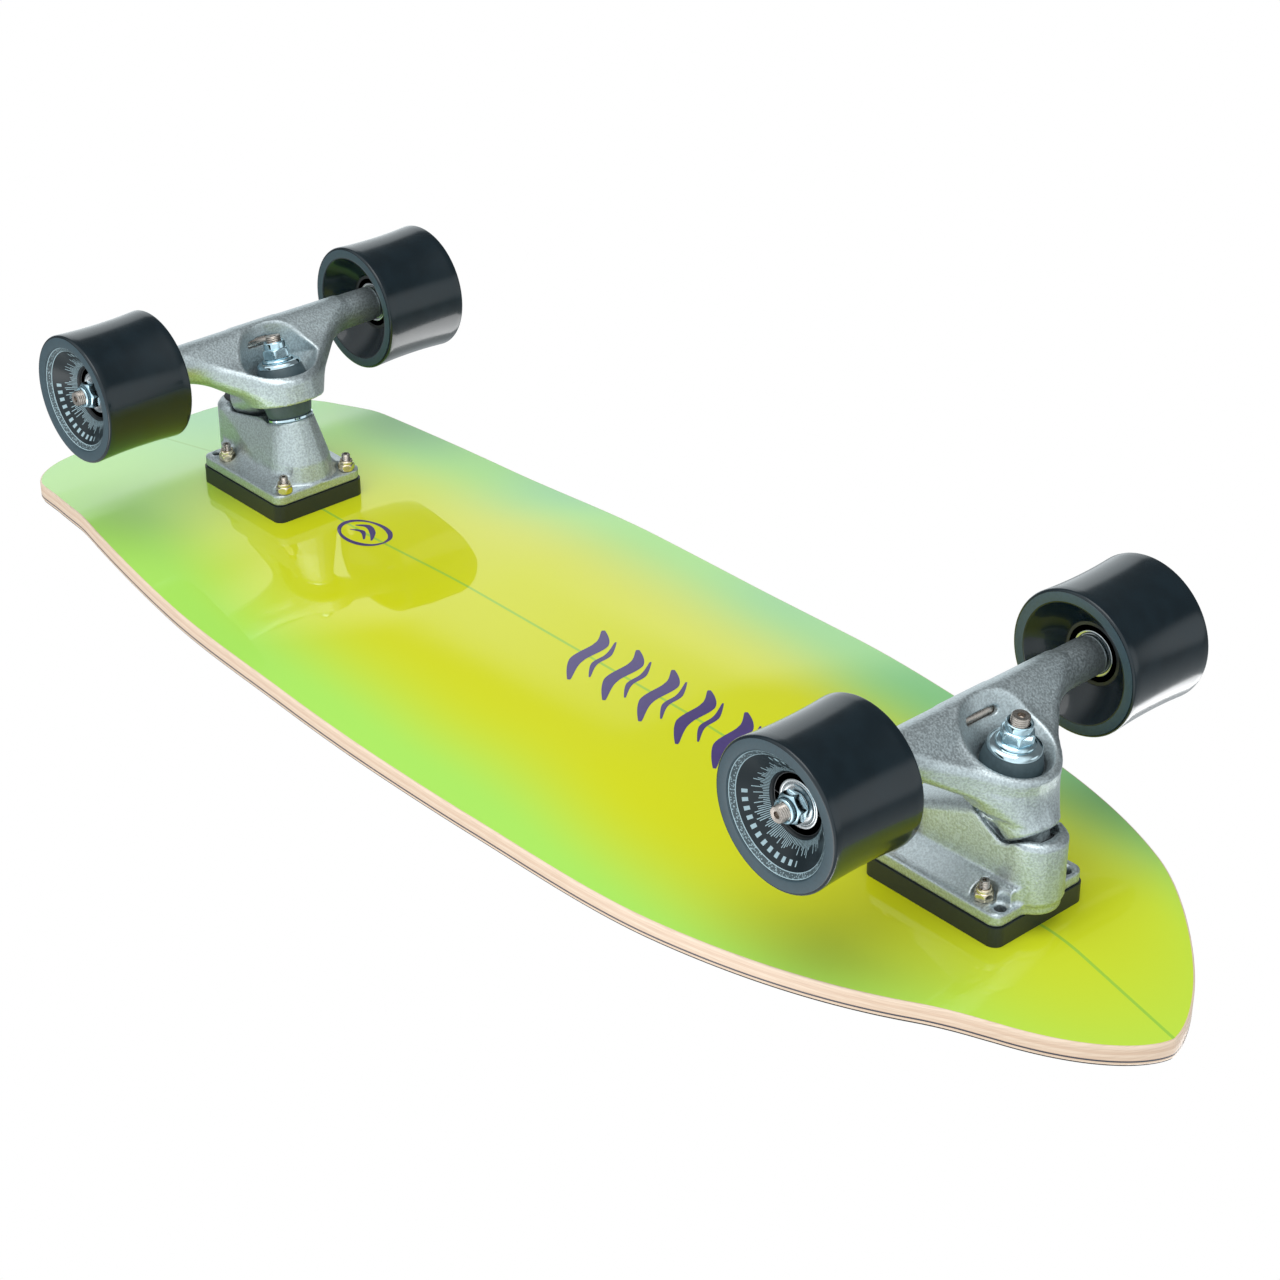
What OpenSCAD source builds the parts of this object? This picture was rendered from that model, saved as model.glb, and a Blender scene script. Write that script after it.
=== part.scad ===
// Carving skateboard standing on its four wheels. Millimetres.
// Origin: on the ground, midway between the wheels' sides and at mid-length of the deck.
// +X points to the nose, +Y to the rider's left, +Z up.

/* [Deck] */
// Length of the deck from nose to tail
deck_len = 776; // [740:1:820]
// Width of the deck at its widest place
deck_w = 249; // [230:1:260]
// Thickness of the seven plies
deck_t = 9.7; // [8:0.1:12]
// How far the rails rise above the centre line at the widest place
concave_h = 11; // [0:0.5:14]
// Rise of the nose above the flat pad under the front truck
nose_kick = 17.8; // [5:0.1:25]
// Slope of the tail, as rise over run
tail_slope = 0.19; // [0.05:0.01:0.3]
// Thickness of the grip tape
grip_t = 0.8; // [0.5:0.1:1.2]

/* [Trucks] */
// Distance from mid-length to the front truck's mounting centre
front_truck_x = 271; // [250:1:280]
// Distance from mid-length to the rear truck's mounting centre
rear_truck_x = 236; // [220:1:245]
// Height of the axle above the deck's underside
truck_h = 83.1; // [80:0.1:90]
// Kingpin lean of the front truck, towards the nose
front_lean = 8; // [0:1:12]
// Kingpin lean of the rear truck, towards the tail
rear_lean = 15; // [8:1:18]
// Length of the hanger casting along the axle
hanger_w = 154; // [150:1:158]
// Length of the axle
axle_len = 228; // [226:1:234]
// Thickness of the riser pad
riser_t = 9.6; // [3:0.1:13]
// Thickness of the baseplate's flange
plate_t = 6.2; // [5:0.1:8]
// Width of the riser pad
riser_w = 57; // [55:0.5:62]

/* [Wheels] */
// Diameter of the wheel
wheel_d = 69; // [64:1:72]
// Width of the wheel over its two lips
wheel_w = 50.6; // [46:0.1:54]
// How much the tread is hollowed at its middle
tread_hollow = 0.9; // [0:0.1:2]
// Number of balls in each bearing
balls = 7; // [6:1:7]

/* [Fasteners] */
// Distance between the mounting bolts across the deck
bolt_w = 41.3; // [41:0.1:42]
// Distance between the mounting bolts along the deck
bolt_l = 53.98; // [53.5:0.01:54.5]
// Distance of the spare holes beyond the outboard bolts
spare_l = 9.52; // [9:0.01:10]
// Diameter of a mounting bolt
bolt_d = 4.8; // [4.5:0.1:5]
// Diameter of the kingpin
kingpin_d = 9.5; // [9:0.1:10]
// Diameter of the axle
axle_d = 7.94; // [7.9:0.01:8]

/* [Hidden] */
$fn = 48;
eps = 0.01;
hull_fn = 32;
cut_h = 20;

// Truck indices: every list below holds the front truck's value, then the rear truck's.
FRONT = 0;
REAR = 1;

// Truck frame: origin on the deck's underside at the mounting centre, +X outboard (to the
// nose on the front truck, to the tail on the rear one), +Z away from the deck.
plate_inboard = [36.3, 31.6];
plate_outboard = 41.8;
plate_margin = 0.6;
plate_corner_r = 5;
plate_top = riser_t + plate_t;
lean = [front_lean, rear_lean];
ring_pos = [[18.9, 67.5], [-2.5, 63.3]];
axle_x = [-4.1, 20.3];
pivot_pos = [[36.4, 39], [39.4, 41]];
bolt_r = bolt_d / 2;
bolt_hole_r = bolt_r + 0.3;
bolt_head_r = 4.75;
bolt_head_h = 2.8;
bolt_head_gap = 0.2;
bolt_tip = 9.2;
grip_hole_r = 5;
mount_nut_w = 8;
mount_nut_h = 5.8;
spot_face_r = 5.6;
spare_face_r = 4.6;

// Stack along the kingpin, measured from the middle of the hanger's ring
ring_half = 5.2;
ring_top = [7.6, 5.2];
ring_low = [-8, -5.2];
ring_r = 20;
seat_half = 2.7;
seat_r = 14.6;
ring_hole_r = 8;
tower_top = -17.6;
tower_r = [14, 12.5];
tower_core_r = 12.6;
lower_washer_t = 1.9;
road_bushing_top = 12.5;
upper_washer_t = 2.4;
kingpin_nut_w = 13.4;
kingpin_nut_h = 10.5;
kingpin_tip = [28.6, 28.4];
kingpin_r = kingpin_d / 2;
kingpin_head_r = 8.2;
kingpin_head_h = 5;
head_gap = 0.5;
head_pocket = 12;
kingpin_chamfer = 1;
washer_r = 12;
lower_washer_r = 12.4;
bushing_r = 14.2;
board_bushing_r = 13.9;
bushing_end_r = 11.5;
kingpin_gap = 0.12;

// Pivot: a round nose on the hanger in a cup in the baseplate
nose_r = 6.4;
nose_gap = 0.25;
cup_r = 7.9;
cup_depth = 8.2;
cup_rim = 1.2;
housing_r = [12, 12.6];
housing_top = [45, 42];
cup_mouth_r = 7.3;
arm_r = [13, 11.5];
arm_clear = 1.6;
nose_neck = 2;
nose_flare = 3.5;
nose_base_r = 9;

// Bearings and wheel stack, measured outwards along the axle
axle_r = axle_d / 2;
axle_bore_r = axle_r + 0.03;
axle_nut_w = 12.7;
axle_nut_h = 7.6;
hanger_end = hanger_w / 2;
hanger_end_r = 9.4;
speed_washer_t = 0.9;
bearing_w = 7;
spacer_w = 10;
bearing_in = hanger_end + speed_washer_t;
bearing_out = bearing_in + bearing_w + spacer_w;
stack_end = bearing_out + bearing_w;
nut_base = stack_end + speed_washer_t;
wheel_mid = (bearing_in + stack_end) / 2;
wheel_r = wheel_d / 2;
bearing_r = 11;
race_r = 9.5;
inner_race_r = 5.5;
speed_washer_r = 5.4;
ball_r = 1.9;
ball_pitch_r = (race_r + inner_race_r) / 2;
core_r = 15.5;
face_r = 27.5;

// Deck surface
ground_to_axle = wheel_r;
pad_z = ground_to_axle + truck_h;
half_w = deck_w / 2;
nose_x = deck_len / 2;
widest_x = 6;
nose_l = nose_x - widest_x;
tail_l = nose_x + widest_x;
tail_corner_r = 37;
tip_half_w = 0.8;
camber_h = 4;
camber_start = 75;
camber_run = 115;
flat_half_w = 35;
concave_reach = 336;
rail_power = 1.6;
nose_flat_power = 3.2;
nose_round_power = 0.66;
tail_reach = 622;
tail_power = 2.2;
nose_kick_x = front_truck_x + plate_outboard + 0.2;
nose_blend = 24;
tail_kick_x = rear_truck_x + plate_outboard + 3.2;
tail_blend = 16;
stations = 44;
columns = 11;

function clamp01(t) = min(1, max(0, t));
function smooth(t) = let (c = clamp01(t)) c * c * (3 - 2 * c);
// A straight slope of 1 that starts at 0 and eases in over the length b
function kick(d, b) = d < 0 ? 0 : d < b ? d * d / (2 * b) : d - b / 2;
// Distance that a corner of radius r cuts off, d past the start of the corner
function corner_cut(d, r) = d < 0 ? 0 : r - sqrt(max(0, r * r - d * d));

function nose_half_w(d) = half_w
    * pow(max(0, 1 - pow(d / nose_l, nose_flat_power)), nose_round_power);
function tail_half_w(d) = half_w * (1 - pow(d / tail_reach, tail_power))
    - corner_cut(d - (tail_l - tail_corner_r), tail_corner_r);
function half_width(x) = max(tip_half_w,
    x > widest_x ? nose_half_w(x - widest_x) : tail_half_w(widest_x - x));

function camber(x) = camber_h * (smooth((abs(x - widest_x) - camber_start) / camber_run) - 1);
function nose_rise(x) = nose_kick * kick(x - nose_kick_x, nose_blend)
    / kick(nose_x - nose_kick_x, nose_blend);
function tail_rise(x) = tail_slope * kick(-x - tail_kick_x, tail_blend);
function concave_at(x) = concave_h
    * max(0, 1 - pow(abs(x - widest_x) / concave_reach, rail_power));
function rail_rise(x, y) = let (w = half_width(x) - flat_half_w)
    w < 1 ? 0 : concave_at(x) * pow(max(0, (abs(y) - flat_half_w) / w), rail_power);
function under_z(x, y) = pad_z + camber(x) + nose_rise(x) + tail_rise(x) + rail_rise(x, y);

// Stations crowd towards both ends, where the outline turns fastest
function station_x(i) = -nose_x * cos(180 * i / stations);
function column_y(x, j) = half_width(x) * (2 * j / columns - 1);
// One closed ring: the lower surface from right to left, then the upper one back
function ring_points(x, low, high) = concat(
    [for (j = [0 : columns]) let (y = column_y(x, j)) [x, y, under_z(x, y) + low]],
    [for (j = [columns : -1 : 0]) let (y = column_y(x, j)) [x, y, under_z(x, y) + high]]);

// A sheet that follows the deck, between two heights above its underside
module board_sheet(low, high) {
    n = 2 * (columns + 1);
    rings = [for (i = [0 : stations]) ring_points(station_x(i), low, high)];
    points = [for (r = rings, p = r) p];
    // The upper side is split along the same diagonals as the lower one, so that sheets nest
    sides = [for (i = [0 : stations - 1], j = [0 : n - 1])
        let (a = i * n + j, b = i * n + (j + 1) % n)
        each j > columns ? [[a, a + n, b + n], [a, b + n, b]] : [[a, a + n, b], [b, a + n, b + n]]];
    ends = [for (j = [0 : columns - 1])
        let (a = j, b = n - 1 - j, last = stations * n)
        each [[a, a + 1, b - 1], [a, b - 1, b],
              [last + a, last + b - 1, last + a + 1], [last + a, last + b, last + b - 1]]];
    polyhedron(points, concat(sides, ends), convexity = 6);
}

// Puts a shape from a truck's own frame into the board's frame
module on_truck(t) {
    if (t == FRONT) translate([front_truck_x, 0, pad_z]) rotate([180, 0, 0]) children();
    else translate([-rear_truck_x, 0, pad_z]) rotate([0, 180, 0]) children();
}

// Origin at the middle of the hanger's ring, +Z along the kingpin towards its tip
module on_kingpin(t) {
    translate([ring_pos[t][0], 0, ring_pos[t][1]]) rotate([0, lean[t], 0]) children();
}

// Origin at the middle of the pivot nose, +Z along the steering axis towards the ring
module on_pivot(t) {
    d = ring_pos[t] - pivot_pos[t];
    translate([pivot_pos[t][0], 0, pivot_pos[t][1]]) rotate([0, atan2(d[0], d[1]), 0]) children();
}

// Origin at the axle's middle, +Z along the axle
module on_axle(t) {
    translate([axle_x[t], 0, truck_h]) rotate([90, 0, 0]) children();
}

module at_bolts() {
    for (x = [-bolt_l / 2, bolt_l / 2], y = [-bolt_w / 2, bolt_w / 2]) translate([x, y, 0]) children();
}

module at_spare_holes() {
    for (y = [-bolt_w / 2, bolt_w / 2]) translate([bolt_l / 2 + spare_l, y, 0]) children();
}

module at_both_ends() {
    children();
    rotate([180, 0, 0]) children();
}

// A ring between two radii, standing on z = 0
module ring(outer, inner, h) {
    difference() {
        cylinder(r = outer, h = h);
        translate([0, 0, -1]) cylinder(r = inner, h = h + 2);
    }
}

module rounded_plate(x0, x1, w, h, r) {
    linear_extrude(h) {
        translate([x0 + r, -w / 2]) square([x1 - x0 - 2 * r, w]);
        translate([x0, -w / 2 + r]) square([x1 - x0, w - 2 * r]);
        for (x = [x0 + r, x1 - r], y = [-w / 2 + r, w / 2 - r]) translate([x, y]) circle(r);
    }
}

// ---- Board ----

module bolt_head_cut(clear) {
    translate([0, 0, -deck_t - grip_t])
        cylinder(r1 = bolt_head_r + clear, r2 = bolt_r + clear, h = bolt_head_h + clear);
}

module deck() {
    color("yellowgreen") difference() {
        board_sheet(0, deck_t);
        for (t = [FRONT, REAR]) on_truck(t) at_bolts() {
            translate([0, 0, -deck_t - 1]) cylinder(r = bolt_hole_r, h = deck_t + 2);
            bolt_head_cut(bolt_head_gap);
        }
    }
}

module grip_tape() {
    color("dimgray") difference() {
        board_sheet(deck_t, deck_t + grip_t);
        for (t = [FRONT, REAR]) on_truck(t) at_bolts()
            translate([0, 0, -deck_t - grip_t - 1]) cylinder(r = grip_hole_r, h = grip_t + 1.5);
    }
}

// ---- Parts fixed to the deck ----

module riser(t) {
    color("black") on_truck(t) difference() {
        rounded_plate(-plate_inboard[t], plate_outboard, riser_w, riser_t, plate_corner_r);
        translate([0, 0, -1]) {
            at_bolts() cylinder(r = bolt_hole_r, h = riser_t + 2);
            at_spare_holes() cylinder(r = bolt_hole_r, h = riser_t + 2);
        }
    }
}

// Length from the ring's middle down the kingpin to the underside of its head
function head_base(t) =
    -(ring_pos[t][1] - riser_t - kingpin_head_r * sin(lean[t]) - head_gap) / cos(lean[t]);

// The flange's sloping top, up to the foot of the block
module apron(t) {
    low_half = 25;
    high_half = 16;
    high_z = [22.5, 20.5];
    inboard = [12 - plate_inboard[t], 9 - plate_inboard[t]];
    length = plate_outboard - 2 - inboard[t];
    hull() {
        translate([inboard[t] - 2, -low_half, plate_top - 1]) cube([length + 2, 2 * low_half, 1]);
        translate([inboard[t], -high_half, high_z[t] - 1]) cube([length, 2 * high_half, 1]);
    }
}

// The block that carries the kingpin and runs into the pivot housing
module tower(t) {
    foot_r = [15, 19];
    waist_r = [14.6, 17];
    waist_z = 26;
    foot_x = [-14, -11.6];
    shoulder_z = [38, 26.5];
    block_top = [43, 39];
    disc_h = 3.4;  // reaches past tower_top, where the baseplate is cut flat
    hull() {
        translate([foot_x[t], 0, plate_top]) cylinder(r = foot_r[t], h = 1, $fn = hull_fn);
        translate([foot_x[t], 0, waist_z])
            cylinder(r = waist_r[t], h = shoulder_z[t] - waist_z, $fn = hull_fn);
        on_kingpin(t) translate([0, 0, tower_top - 3]) cylinder(r = tower_r[t], h = disc_h, $fn = hull_fn);
        translate([pivot_pos[t][0], 0, plate_top])
            cylinder(r = housing_r[t] + 1, h = block_top[t] - plate_top, $fn = hull_fn);
    }
}

// Space that the hanger's arm and chin sweep while they rock
module arm_sweep(t) {
    slope = [0.34, 0.24];
    sweep_h = 30;
    near_r = arm_r[t] + arm_clear;
    on_pivot(t) translate([0, 0, cup_rim])
        cylinder(r = nose_base_r + arm_clear, h = nose_neck + nose_flare + 5);
    difference() {
        on_pivot(t) translate([0, 0, cup_rim])
            cylinder(r1 = near_r, r2 = near_r + slope[t] * sweep_h, h = sweep_h);
        on_kingpin(t) translate([0, 0, tower_top - 2 * cut_h]) cylinder(r = tower_core_r, h = 4 * cut_h);
    }
}

module baseplate(t) {
    color("darkgray") on_truck(t) difference() {
        union() {
            translate([0, 0, riser_t]) rounded_plate(-plate_inboard[t] + plate_margin,
                plate_outboard - plate_margin, riser_w - 2 * plate_margin, plate_t, plate_corner_r);
            apron(t);
            tower(t);
            translate([pivot_pos[t][0], 0, riser_t + 1])
                cylinder(r = housing_r[t], h = housing_top[t] - riser_t - 1);
        }
        translate([0, 0, riser_t - 1]) {
            at_bolts() cylinder(r = bolt_hole_r, h = plate_t + 2);
            at_spare_holes() cylinder(r = bolt_hole_r, h = plate_t + 2);
            translate([0, 0, plate_t + 1]) {
                at_bolts() cylinder(r = spot_face_r, h = 12);
                at_spare_holes() cylinder(r = spare_face_r, h = 12);
            }
        }
        // Kingpin bore, and the pocket that its head sits in
        on_kingpin(t) {
            translate([0, 0, head_base(t)])
                cylinder(r = kingpin_r + kingpin_gap, h = tower_top - head_base(t) + 1);
            translate([0, 0, head_base(t) - head_pocket])
                cylinder(r = kingpin_head_r + head_gap, h = kingpin_head_h + head_pocket + head_gap);
        }
        on_pivot(t) translate([0, 0, -cup_depth]) cylinder(r = cup_r, h = cup_depth + cup_rim);
        arm_sweep(t);
        on_kingpin(t) translate([0, 0, tower_top]) cylinder(r = tower_r[t] + 1, h = cut_h);
    }
}

module pivot_cup(t) {
    color("whitesmoke") on_truck(t) on_pivot(t) difference() {
        translate([0, 0, -cup_depth]) cylinder(r = cup_r, h = cup_depth + cup_rim);
        sphere(r = nose_r + nose_gap);
        cylinder(r1 = nose_r + nose_gap, r2 = cup_mouth_r, h = cup_rim + eps);
    }
}

module kingpin(t) {
    base = head_base(t);
    color("silver") on_truck(t) on_kingpin(t) {
        translate([0, 0, base]) cylinder(r = kingpin_head_r, h = kingpin_head_h, $fn = 6);
        translate([0, 0, base + 1])
            cylinder(r = kingpin_r, h = kingpin_tip[t] - kingpin_chamfer - base - 1);
        translate([0, 0, kingpin_tip[t] - kingpin_chamfer])
            cylinder(r1 = kingpin_r, r2 = kingpin_r - kingpin_chamfer, h = kingpin_chamfer);
    }
}

module lower_washer(t) {
    color("gainsboro") on_truck(t) on_kingpin(t) translate([0, 0, tower_top])
        ring(lower_washer_r, kingpin_r + kingpin_gap, lower_washer_t);
}

module board_bushing(t) {
    base = tower_top + lower_washer_t;
    h = -seat_half - base;
    color("slategray") on_truck(t) on_kingpin(t) translate([0, 0, base]) difference() {
        union() {
            cylinder(r1 = bushing_end_r, r2 = board_bushing_r, h = h / 2);
            translate([0, 0, h / 2]) cylinder(r = board_bushing_r, h = h / 2);
        }
        translate([0, 0, -1]) cylinder(r = kingpin_r + kingpin_gap, h = h + 2);
    }
}

module road_bushing(t) {
    h = road_bushing_top - seat_half;
    color("slategray") on_truck(t) on_kingpin(t) translate([0, 0, seat_half]) difference() {
        union() {
            cylinder(r = bushing_r, h = h / 3);
            translate([0, 0, h / 3]) cylinder(r1 = bushing_r, r2 = bushing_end_r, h = 2 * h / 3);
        }
        translate([0, 0, -1]) cylinder(r = kingpin_r + kingpin_gap, h = h + 2);
    }
}

module upper_washer(t) {
    color("gainsboro") on_truck(t) on_kingpin(t) translate([0, 0, road_bushing_top])
        difference() {
            cylinder(r1 = washer_r, r2 = washer_r - upper_washer_t, h = upper_washer_t);
            translate([0, 0, -1]) cylinder(r = kingpin_r + kingpin_gap, h = upper_washer_t + 2);
        }
}

// Hexagonal nut with a round collar, standing on z = 0
module lock_nut(across_flats, bore_r, h) {
    hex_share = 0.6;
    collar_share = 0.92;
    difference() {
        union() {
            cylinder(r = across_flats / sqrt(3), h = hex_share * h, $fn = 6);
            cylinder(r = collar_share * across_flats / 2, h = h);
        }
        translate([0, 0, -1]) cylinder(r = bore_r, h = h + 2);
    }
}

module kingpin_nut(t) {
    color("silver") on_truck(t) on_kingpin(t) translate([0, 0, road_bushing_top + upper_washer_t])
        lock_nut(kingpin_nut_w, kingpin_r, kingpin_nut_h);
}

module mount_bolts(t) {
    tip = plate_top + bolt_tip;
    color("silver") on_truck(t) at_bolts() {
        bolt_head_cut(0);
        translate([0, 0, -deck_t - grip_t + 1]) cylinder(r = bolt_r, h = deck_t + grip_t - 1 + tip);
    }
}

module mount_nuts(t) {
    color("silver") on_truck(t) at_bolts() translate([0, 0, plate_top])
        lock_nut(mount_nut_w, bolt_r, mount_nut_h);
}

// ---- Parts that rock with the hanger ----

// Space round the road-side bushing: a cone with a flat back wall in front of the axle
module dish(t) {
    rim_r = [27, 23];
    h = [17, 9];
    back_x = [-14.8, 14.8];
    back_tilt = [-31.3, -7.5];
    reach = 60;
    intersection() {
        translate([0, 0, ring_half]) {
            cylinder(r1 = seat_r + 0.2, r2 = rim_r[t], h = h[t]);
            translate([0, 0, h[t] - eps]) cylinder(r = rim_r[t], h = 2 * cut_h);
        }
        translate([back_x[t], 0, ring_half]) rotate([0, back_tilt[t], 0])
            translate([t == FRONT ? 0 : -reach, -reach, -reach]) cube([reach, 2 * reach, 2 * reach]);
    }
}

// Opening in the back wall of the dish, through which the axle shows
module axle_window(t) {
    window_l = 19;
    window_w = 3.4;
    depth = 7;
    turn = [-31.3, 172.5];
    translate([axle_x[t], 0, truck_h]) rotate([0, lean[t] + turn[t], 0])
        translate([0, -window_l / 2, -window_w / 2]) cube([depth, window_l, window_w]);
}

// The bar, its webs to the ring, and the arm that leads to the pivot
module hanger_body(t) {
    bar_r = 10;
    head_half = 12;
    web_y = 56;
    web_r = 8;
    web_top = [6.4, 3.4];
    chin_r = [20, 15];
    on_axle(t) at_both_ends() cylinder(r1 = bar_r, r2 = hanger_end_r, h = hanger_end);
    hull() {
        on_axle(t) translate([0, 0, -head_half])
            cylinder(r = web_r, h = 2 * head_half, $fn = hull_fn);
        on_kingpin(t) translate([0, 0, ring_low[t]])
            cylinder(r = ring_r, h = ring_top[t] - ring_low[t], $fn = hull_fn);
    }
    hull() {
        on_axle(t) translate([0, 0, -web_y]) cylinder(r = web_r, h = 2 * web_y, $fn = hull_fn);
        on_kingpin(t) translate([0, 0, ring_low[t] + 1])
            cylinder(r = ring_r - 0.5, h = web_top[t] - ring_low[t] - 1, $fn = hull_fn);
    }
    hull() {
        on_pivot(t) translate([0, 0, nose_neck + nose_flare])
            cylinder(r = arm_r[t], h = 1, $fn = hull_fn);
        on_kingpin(t) translate([0, 0, ring_low[t]])
            cylinder(r = chin_r[t], h = ring_half, $fn = hull_fn);
    }
}

module hanger(t) {
    relief_r = 17.4;
    relief_h = 36;
    color("darkgray") on_truck(t) difference() {
        union() {
            difference() {
                hanger_body(t);
                on_kingpin(t) translate([0, 0, ring_low[t] - relief_h])
                    cylinder(r = relief_r, h = relief_h);
            }
            on_pivot(t) {
                sphere(r = nose_r);
                cylinder(r = nose_r, h = nose_neck);
                translate([0, 0, nose_neck])
                    cylinder(r1 = nose_r, r2 = nose_base_r, h = nose_flare + 1);
            }
        }
        on_axle(t) translate([0, 0, -hanger_end - 1]) cylinder(r = axle_r, h = hanger_w + 2);
        axle_window(t);
        on_kingpin(t) {
            // Hole for the kingpin, and the two bushing seats
            translate([0, 0, -cut_h]) cylinder(r = ring_hole_r, h = 2 * cut_h);
            translate([0, 0, seat_half]) cylinder(r = seat_r, h = ring_half);
            translate([0, 0, ring_low[t] - 1]) cylinder(r = seat_r, h = 1 - ring_low[t] - seat_half);
            dish(t);
        }
    }
}

module axle(t) {
    color("silver") on_truck(t) on_axle(t) translate([0, 0, -axle_len / 2])
        cylinder(r = axle_r, h = axle_len);
}

module axle_nuts(t) {
    color("silver") on_truck(t) on_axle(t) at_both_ends()
        translate([0, 0, nut_base]) lock_nut(axle_nut_w, axle_r, axle_nut_h);
}

module speed_washers(t) {
    color("gainsboro") on_truck(t) on_axle(t) at_both_ends()
        for (z = [hanger_end, stack_end]) translate([0, 0, z])
            ring(speed_washer_r, axle_bore_r, speed_washer_t);
}

module bearing_spacers(t) {
    color("silver") on_truck(t) on_axle(t) at_both_ends()
        translate([0, 0, bearing_in + bearing_w]) ring(inner_race_r, axle_bore_r, spacer_w);
}

module inner_races(t) {
    color("gainsboro") on_truck(t) on_axle(t) at_both_ends()
        for (z = [bearing_in, bearing_out]) translate([0, 0, z])
            ring(inner_race_r, axle_bore_r, bearing_w);
}

// ---- Wheels ----

// Puts a wheel's shapes on the given truck, side = 1 for left (+Y) and -1 for right.
// Inside, +Z runs outwards along the axle from the board's centre plane.
module on_wheel(t, side) {
    on_truck(t) on_axle(t) rotate([side * (t == FRONT ? 1 : -1) > 0 ? 0 : 180, 0, 0]) children();
}

module tyre_shape() {
    z0 = wheel_mid - wheel_w / 2;
    z1 = wheel_mid + wheel_w / 2;
    lip = 2.2;
    quarter_hollow = 0.7 * tread_hollow;
    rotate_extrude($fn = 96) polygon([
        [core_r, bearing_in], [face_r, z0], [wheel_r - lip, z0], [wheel_r, z0 + lip],
        [wheel_r - quarter_hollow, z0 + wheel_w / 4], [wheel_r - tread_hollow, wheel_mid],
        [wheel_r - quarter_hollow, z1 - wheel_w / 4],
        [wheel_r, z1 - lip], [wheel_r - lip, z1], [face_r, z1], [core_r, stack_end]]);
}

module tyre(t, side) {
    color("black") on_wheel(t, side) tyre_shape();
}

module core(t, side) {
    color("black") on_wheel(t, side) difference() {
        translate([0, 0, bearing_in]) cylinder(r = core_r, h = stack_end - bearing_in);
        translate([0, 0, bearing_in - 1]) cylinder(r = bearing_r, h = bearing_w + 1);
        translate([0, 0, bearing_out]) cylinder(r = bearing_r, h = bearing_w + 1);
        translate([0, 0, bearing_in]) cylinder(r = race_r, h = stack_end - bearing_in);
    }
}

module outer_races(t, side) {
    color("gainsboro") on_wheel(t, side)
        for (z = [bearing_in, bearing_out]) translate([0, 0, z]) ring(bearing_r, race_r, bearing_w);
}

module shields(t, side) {
    shield_t = 0.4;
    inset = 0.2;
    shield_r = 5.9;
    color("silver") on_wheel(t, side)
        for (z = [bearing_in, bearing_out], d = [inset, bearing_w - inset - shield_t])
            translate([0, 0, z + d]) ring(race_r, shield_r, shield_t);
}

module ball_set(t, side) {
    color("gainsboro") on_wheel(t, side)
        for (z = [bearing_in, bearing_out], i = [0 : balls - 1]) rotate([0, 0, 360 * i / balls])
            translate([ball_pitch_r, 0, z + bearing_w / 2]) sphere(r = ball_r);
}

deck();
grip_tape();

riser(FRONT);  // front_riser
baseplate(FRONT);  // front_baseplate
pivot_cup(FRONT);  // front_pivot_cup
kingpin(FRONT);  // front_kingpin
lower_washer(FRONT);  // front_lower_washer
board_bushing(FRONT);  // front_board_bushing
road_bushing(FRONT);  // front_road_bushing
upper_washer(FRONT);  // front_upper_washer
kingpin_nut(FRONT);  // front_kingpin_nut
mount_bolts(FRONT);  // front_mount_bolts
mount_nuts(FRONT);  // front_mount_nuts
hanger(FRONT);  // front_hanger
axle(FRONT);  // front_axle
axle_nuts(FRONT);  // front_axle_nuts
speed_washers(FRONT);  // front_speed_washers
bearing_spacers(FRONT);  // front_bearing_spacers
inner_races(FRONT);  // front_inner_races

riser(REAR);  // rear_riser
baseplate(REAR);  // rear_baseplate
pivot_cup(REAR);  // rear_pivot_cup
kingpin(REAR);  // rear_kingpin
lower_washer(REAR);  // rear_lower_washer
board_bushing(REAR);  // rear_board_bushing
road_bushing(REAR);  // rear_road_bushing
upper_washer(REAR);  // rear_upper_washer
kingpin_nut(REAR);  // rear_kingpin_nut
mount_bolts(REAR);  // rear_mount_bolts
mount_nuts(REAR);  // rear_mount_nuts
hanger(REAR);  // rear_hanger
axle(REAR);  // rear_axle
axle_nuts(REAR);  // rear_axle_nuts
speed_washers(REAR);  // rear_speed_washers
bearing_spacers(REAR);  // rear_bearing_spacers
inner_races(REAR);  // rear_inner_races

tyre(FRONT, 1);  // front_left_tyre
core(FRONT, 1);  // front_left_core
outer_races(FRONT, 1);  // front_left_outer_races
shields(FRONT, 1);  // front_left_shields
ball_set(FRONT, 1);  // front_left_balls
tyre(FRONT, -1);  // front_right_tyre
core(FRONT, -1);  // front_right_core
outer_races(FRONT, -1);  // front_right_outer_races
shields(FRONT, -1);  // front_right_shields
ball_set(FRONT, -1);  // front_right_balls
tyre(REAR, 1);  // rear_left_tyre
core(REAR, 1);  // rear_left_core
outer_races(REAR, 1);  // rear_left_outer_races
shields(REAR, 1);  // rear_left_shields
ball_set(REAR, 1);  // rear_left_balls
tyre(REAR, -1);  // rear_right_tyre
core(REAR, -1);  // rear_right_core
outer_races(REAR, -1);  // rear_right_outer_races
shields(REAR, -1);  // rear_right_shields
ball_set(REAR, -1);  // rear_right_balls
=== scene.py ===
import math

import bmesh
import bpy
import numpy as np
from mathutils import Matrix, Vector


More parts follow.
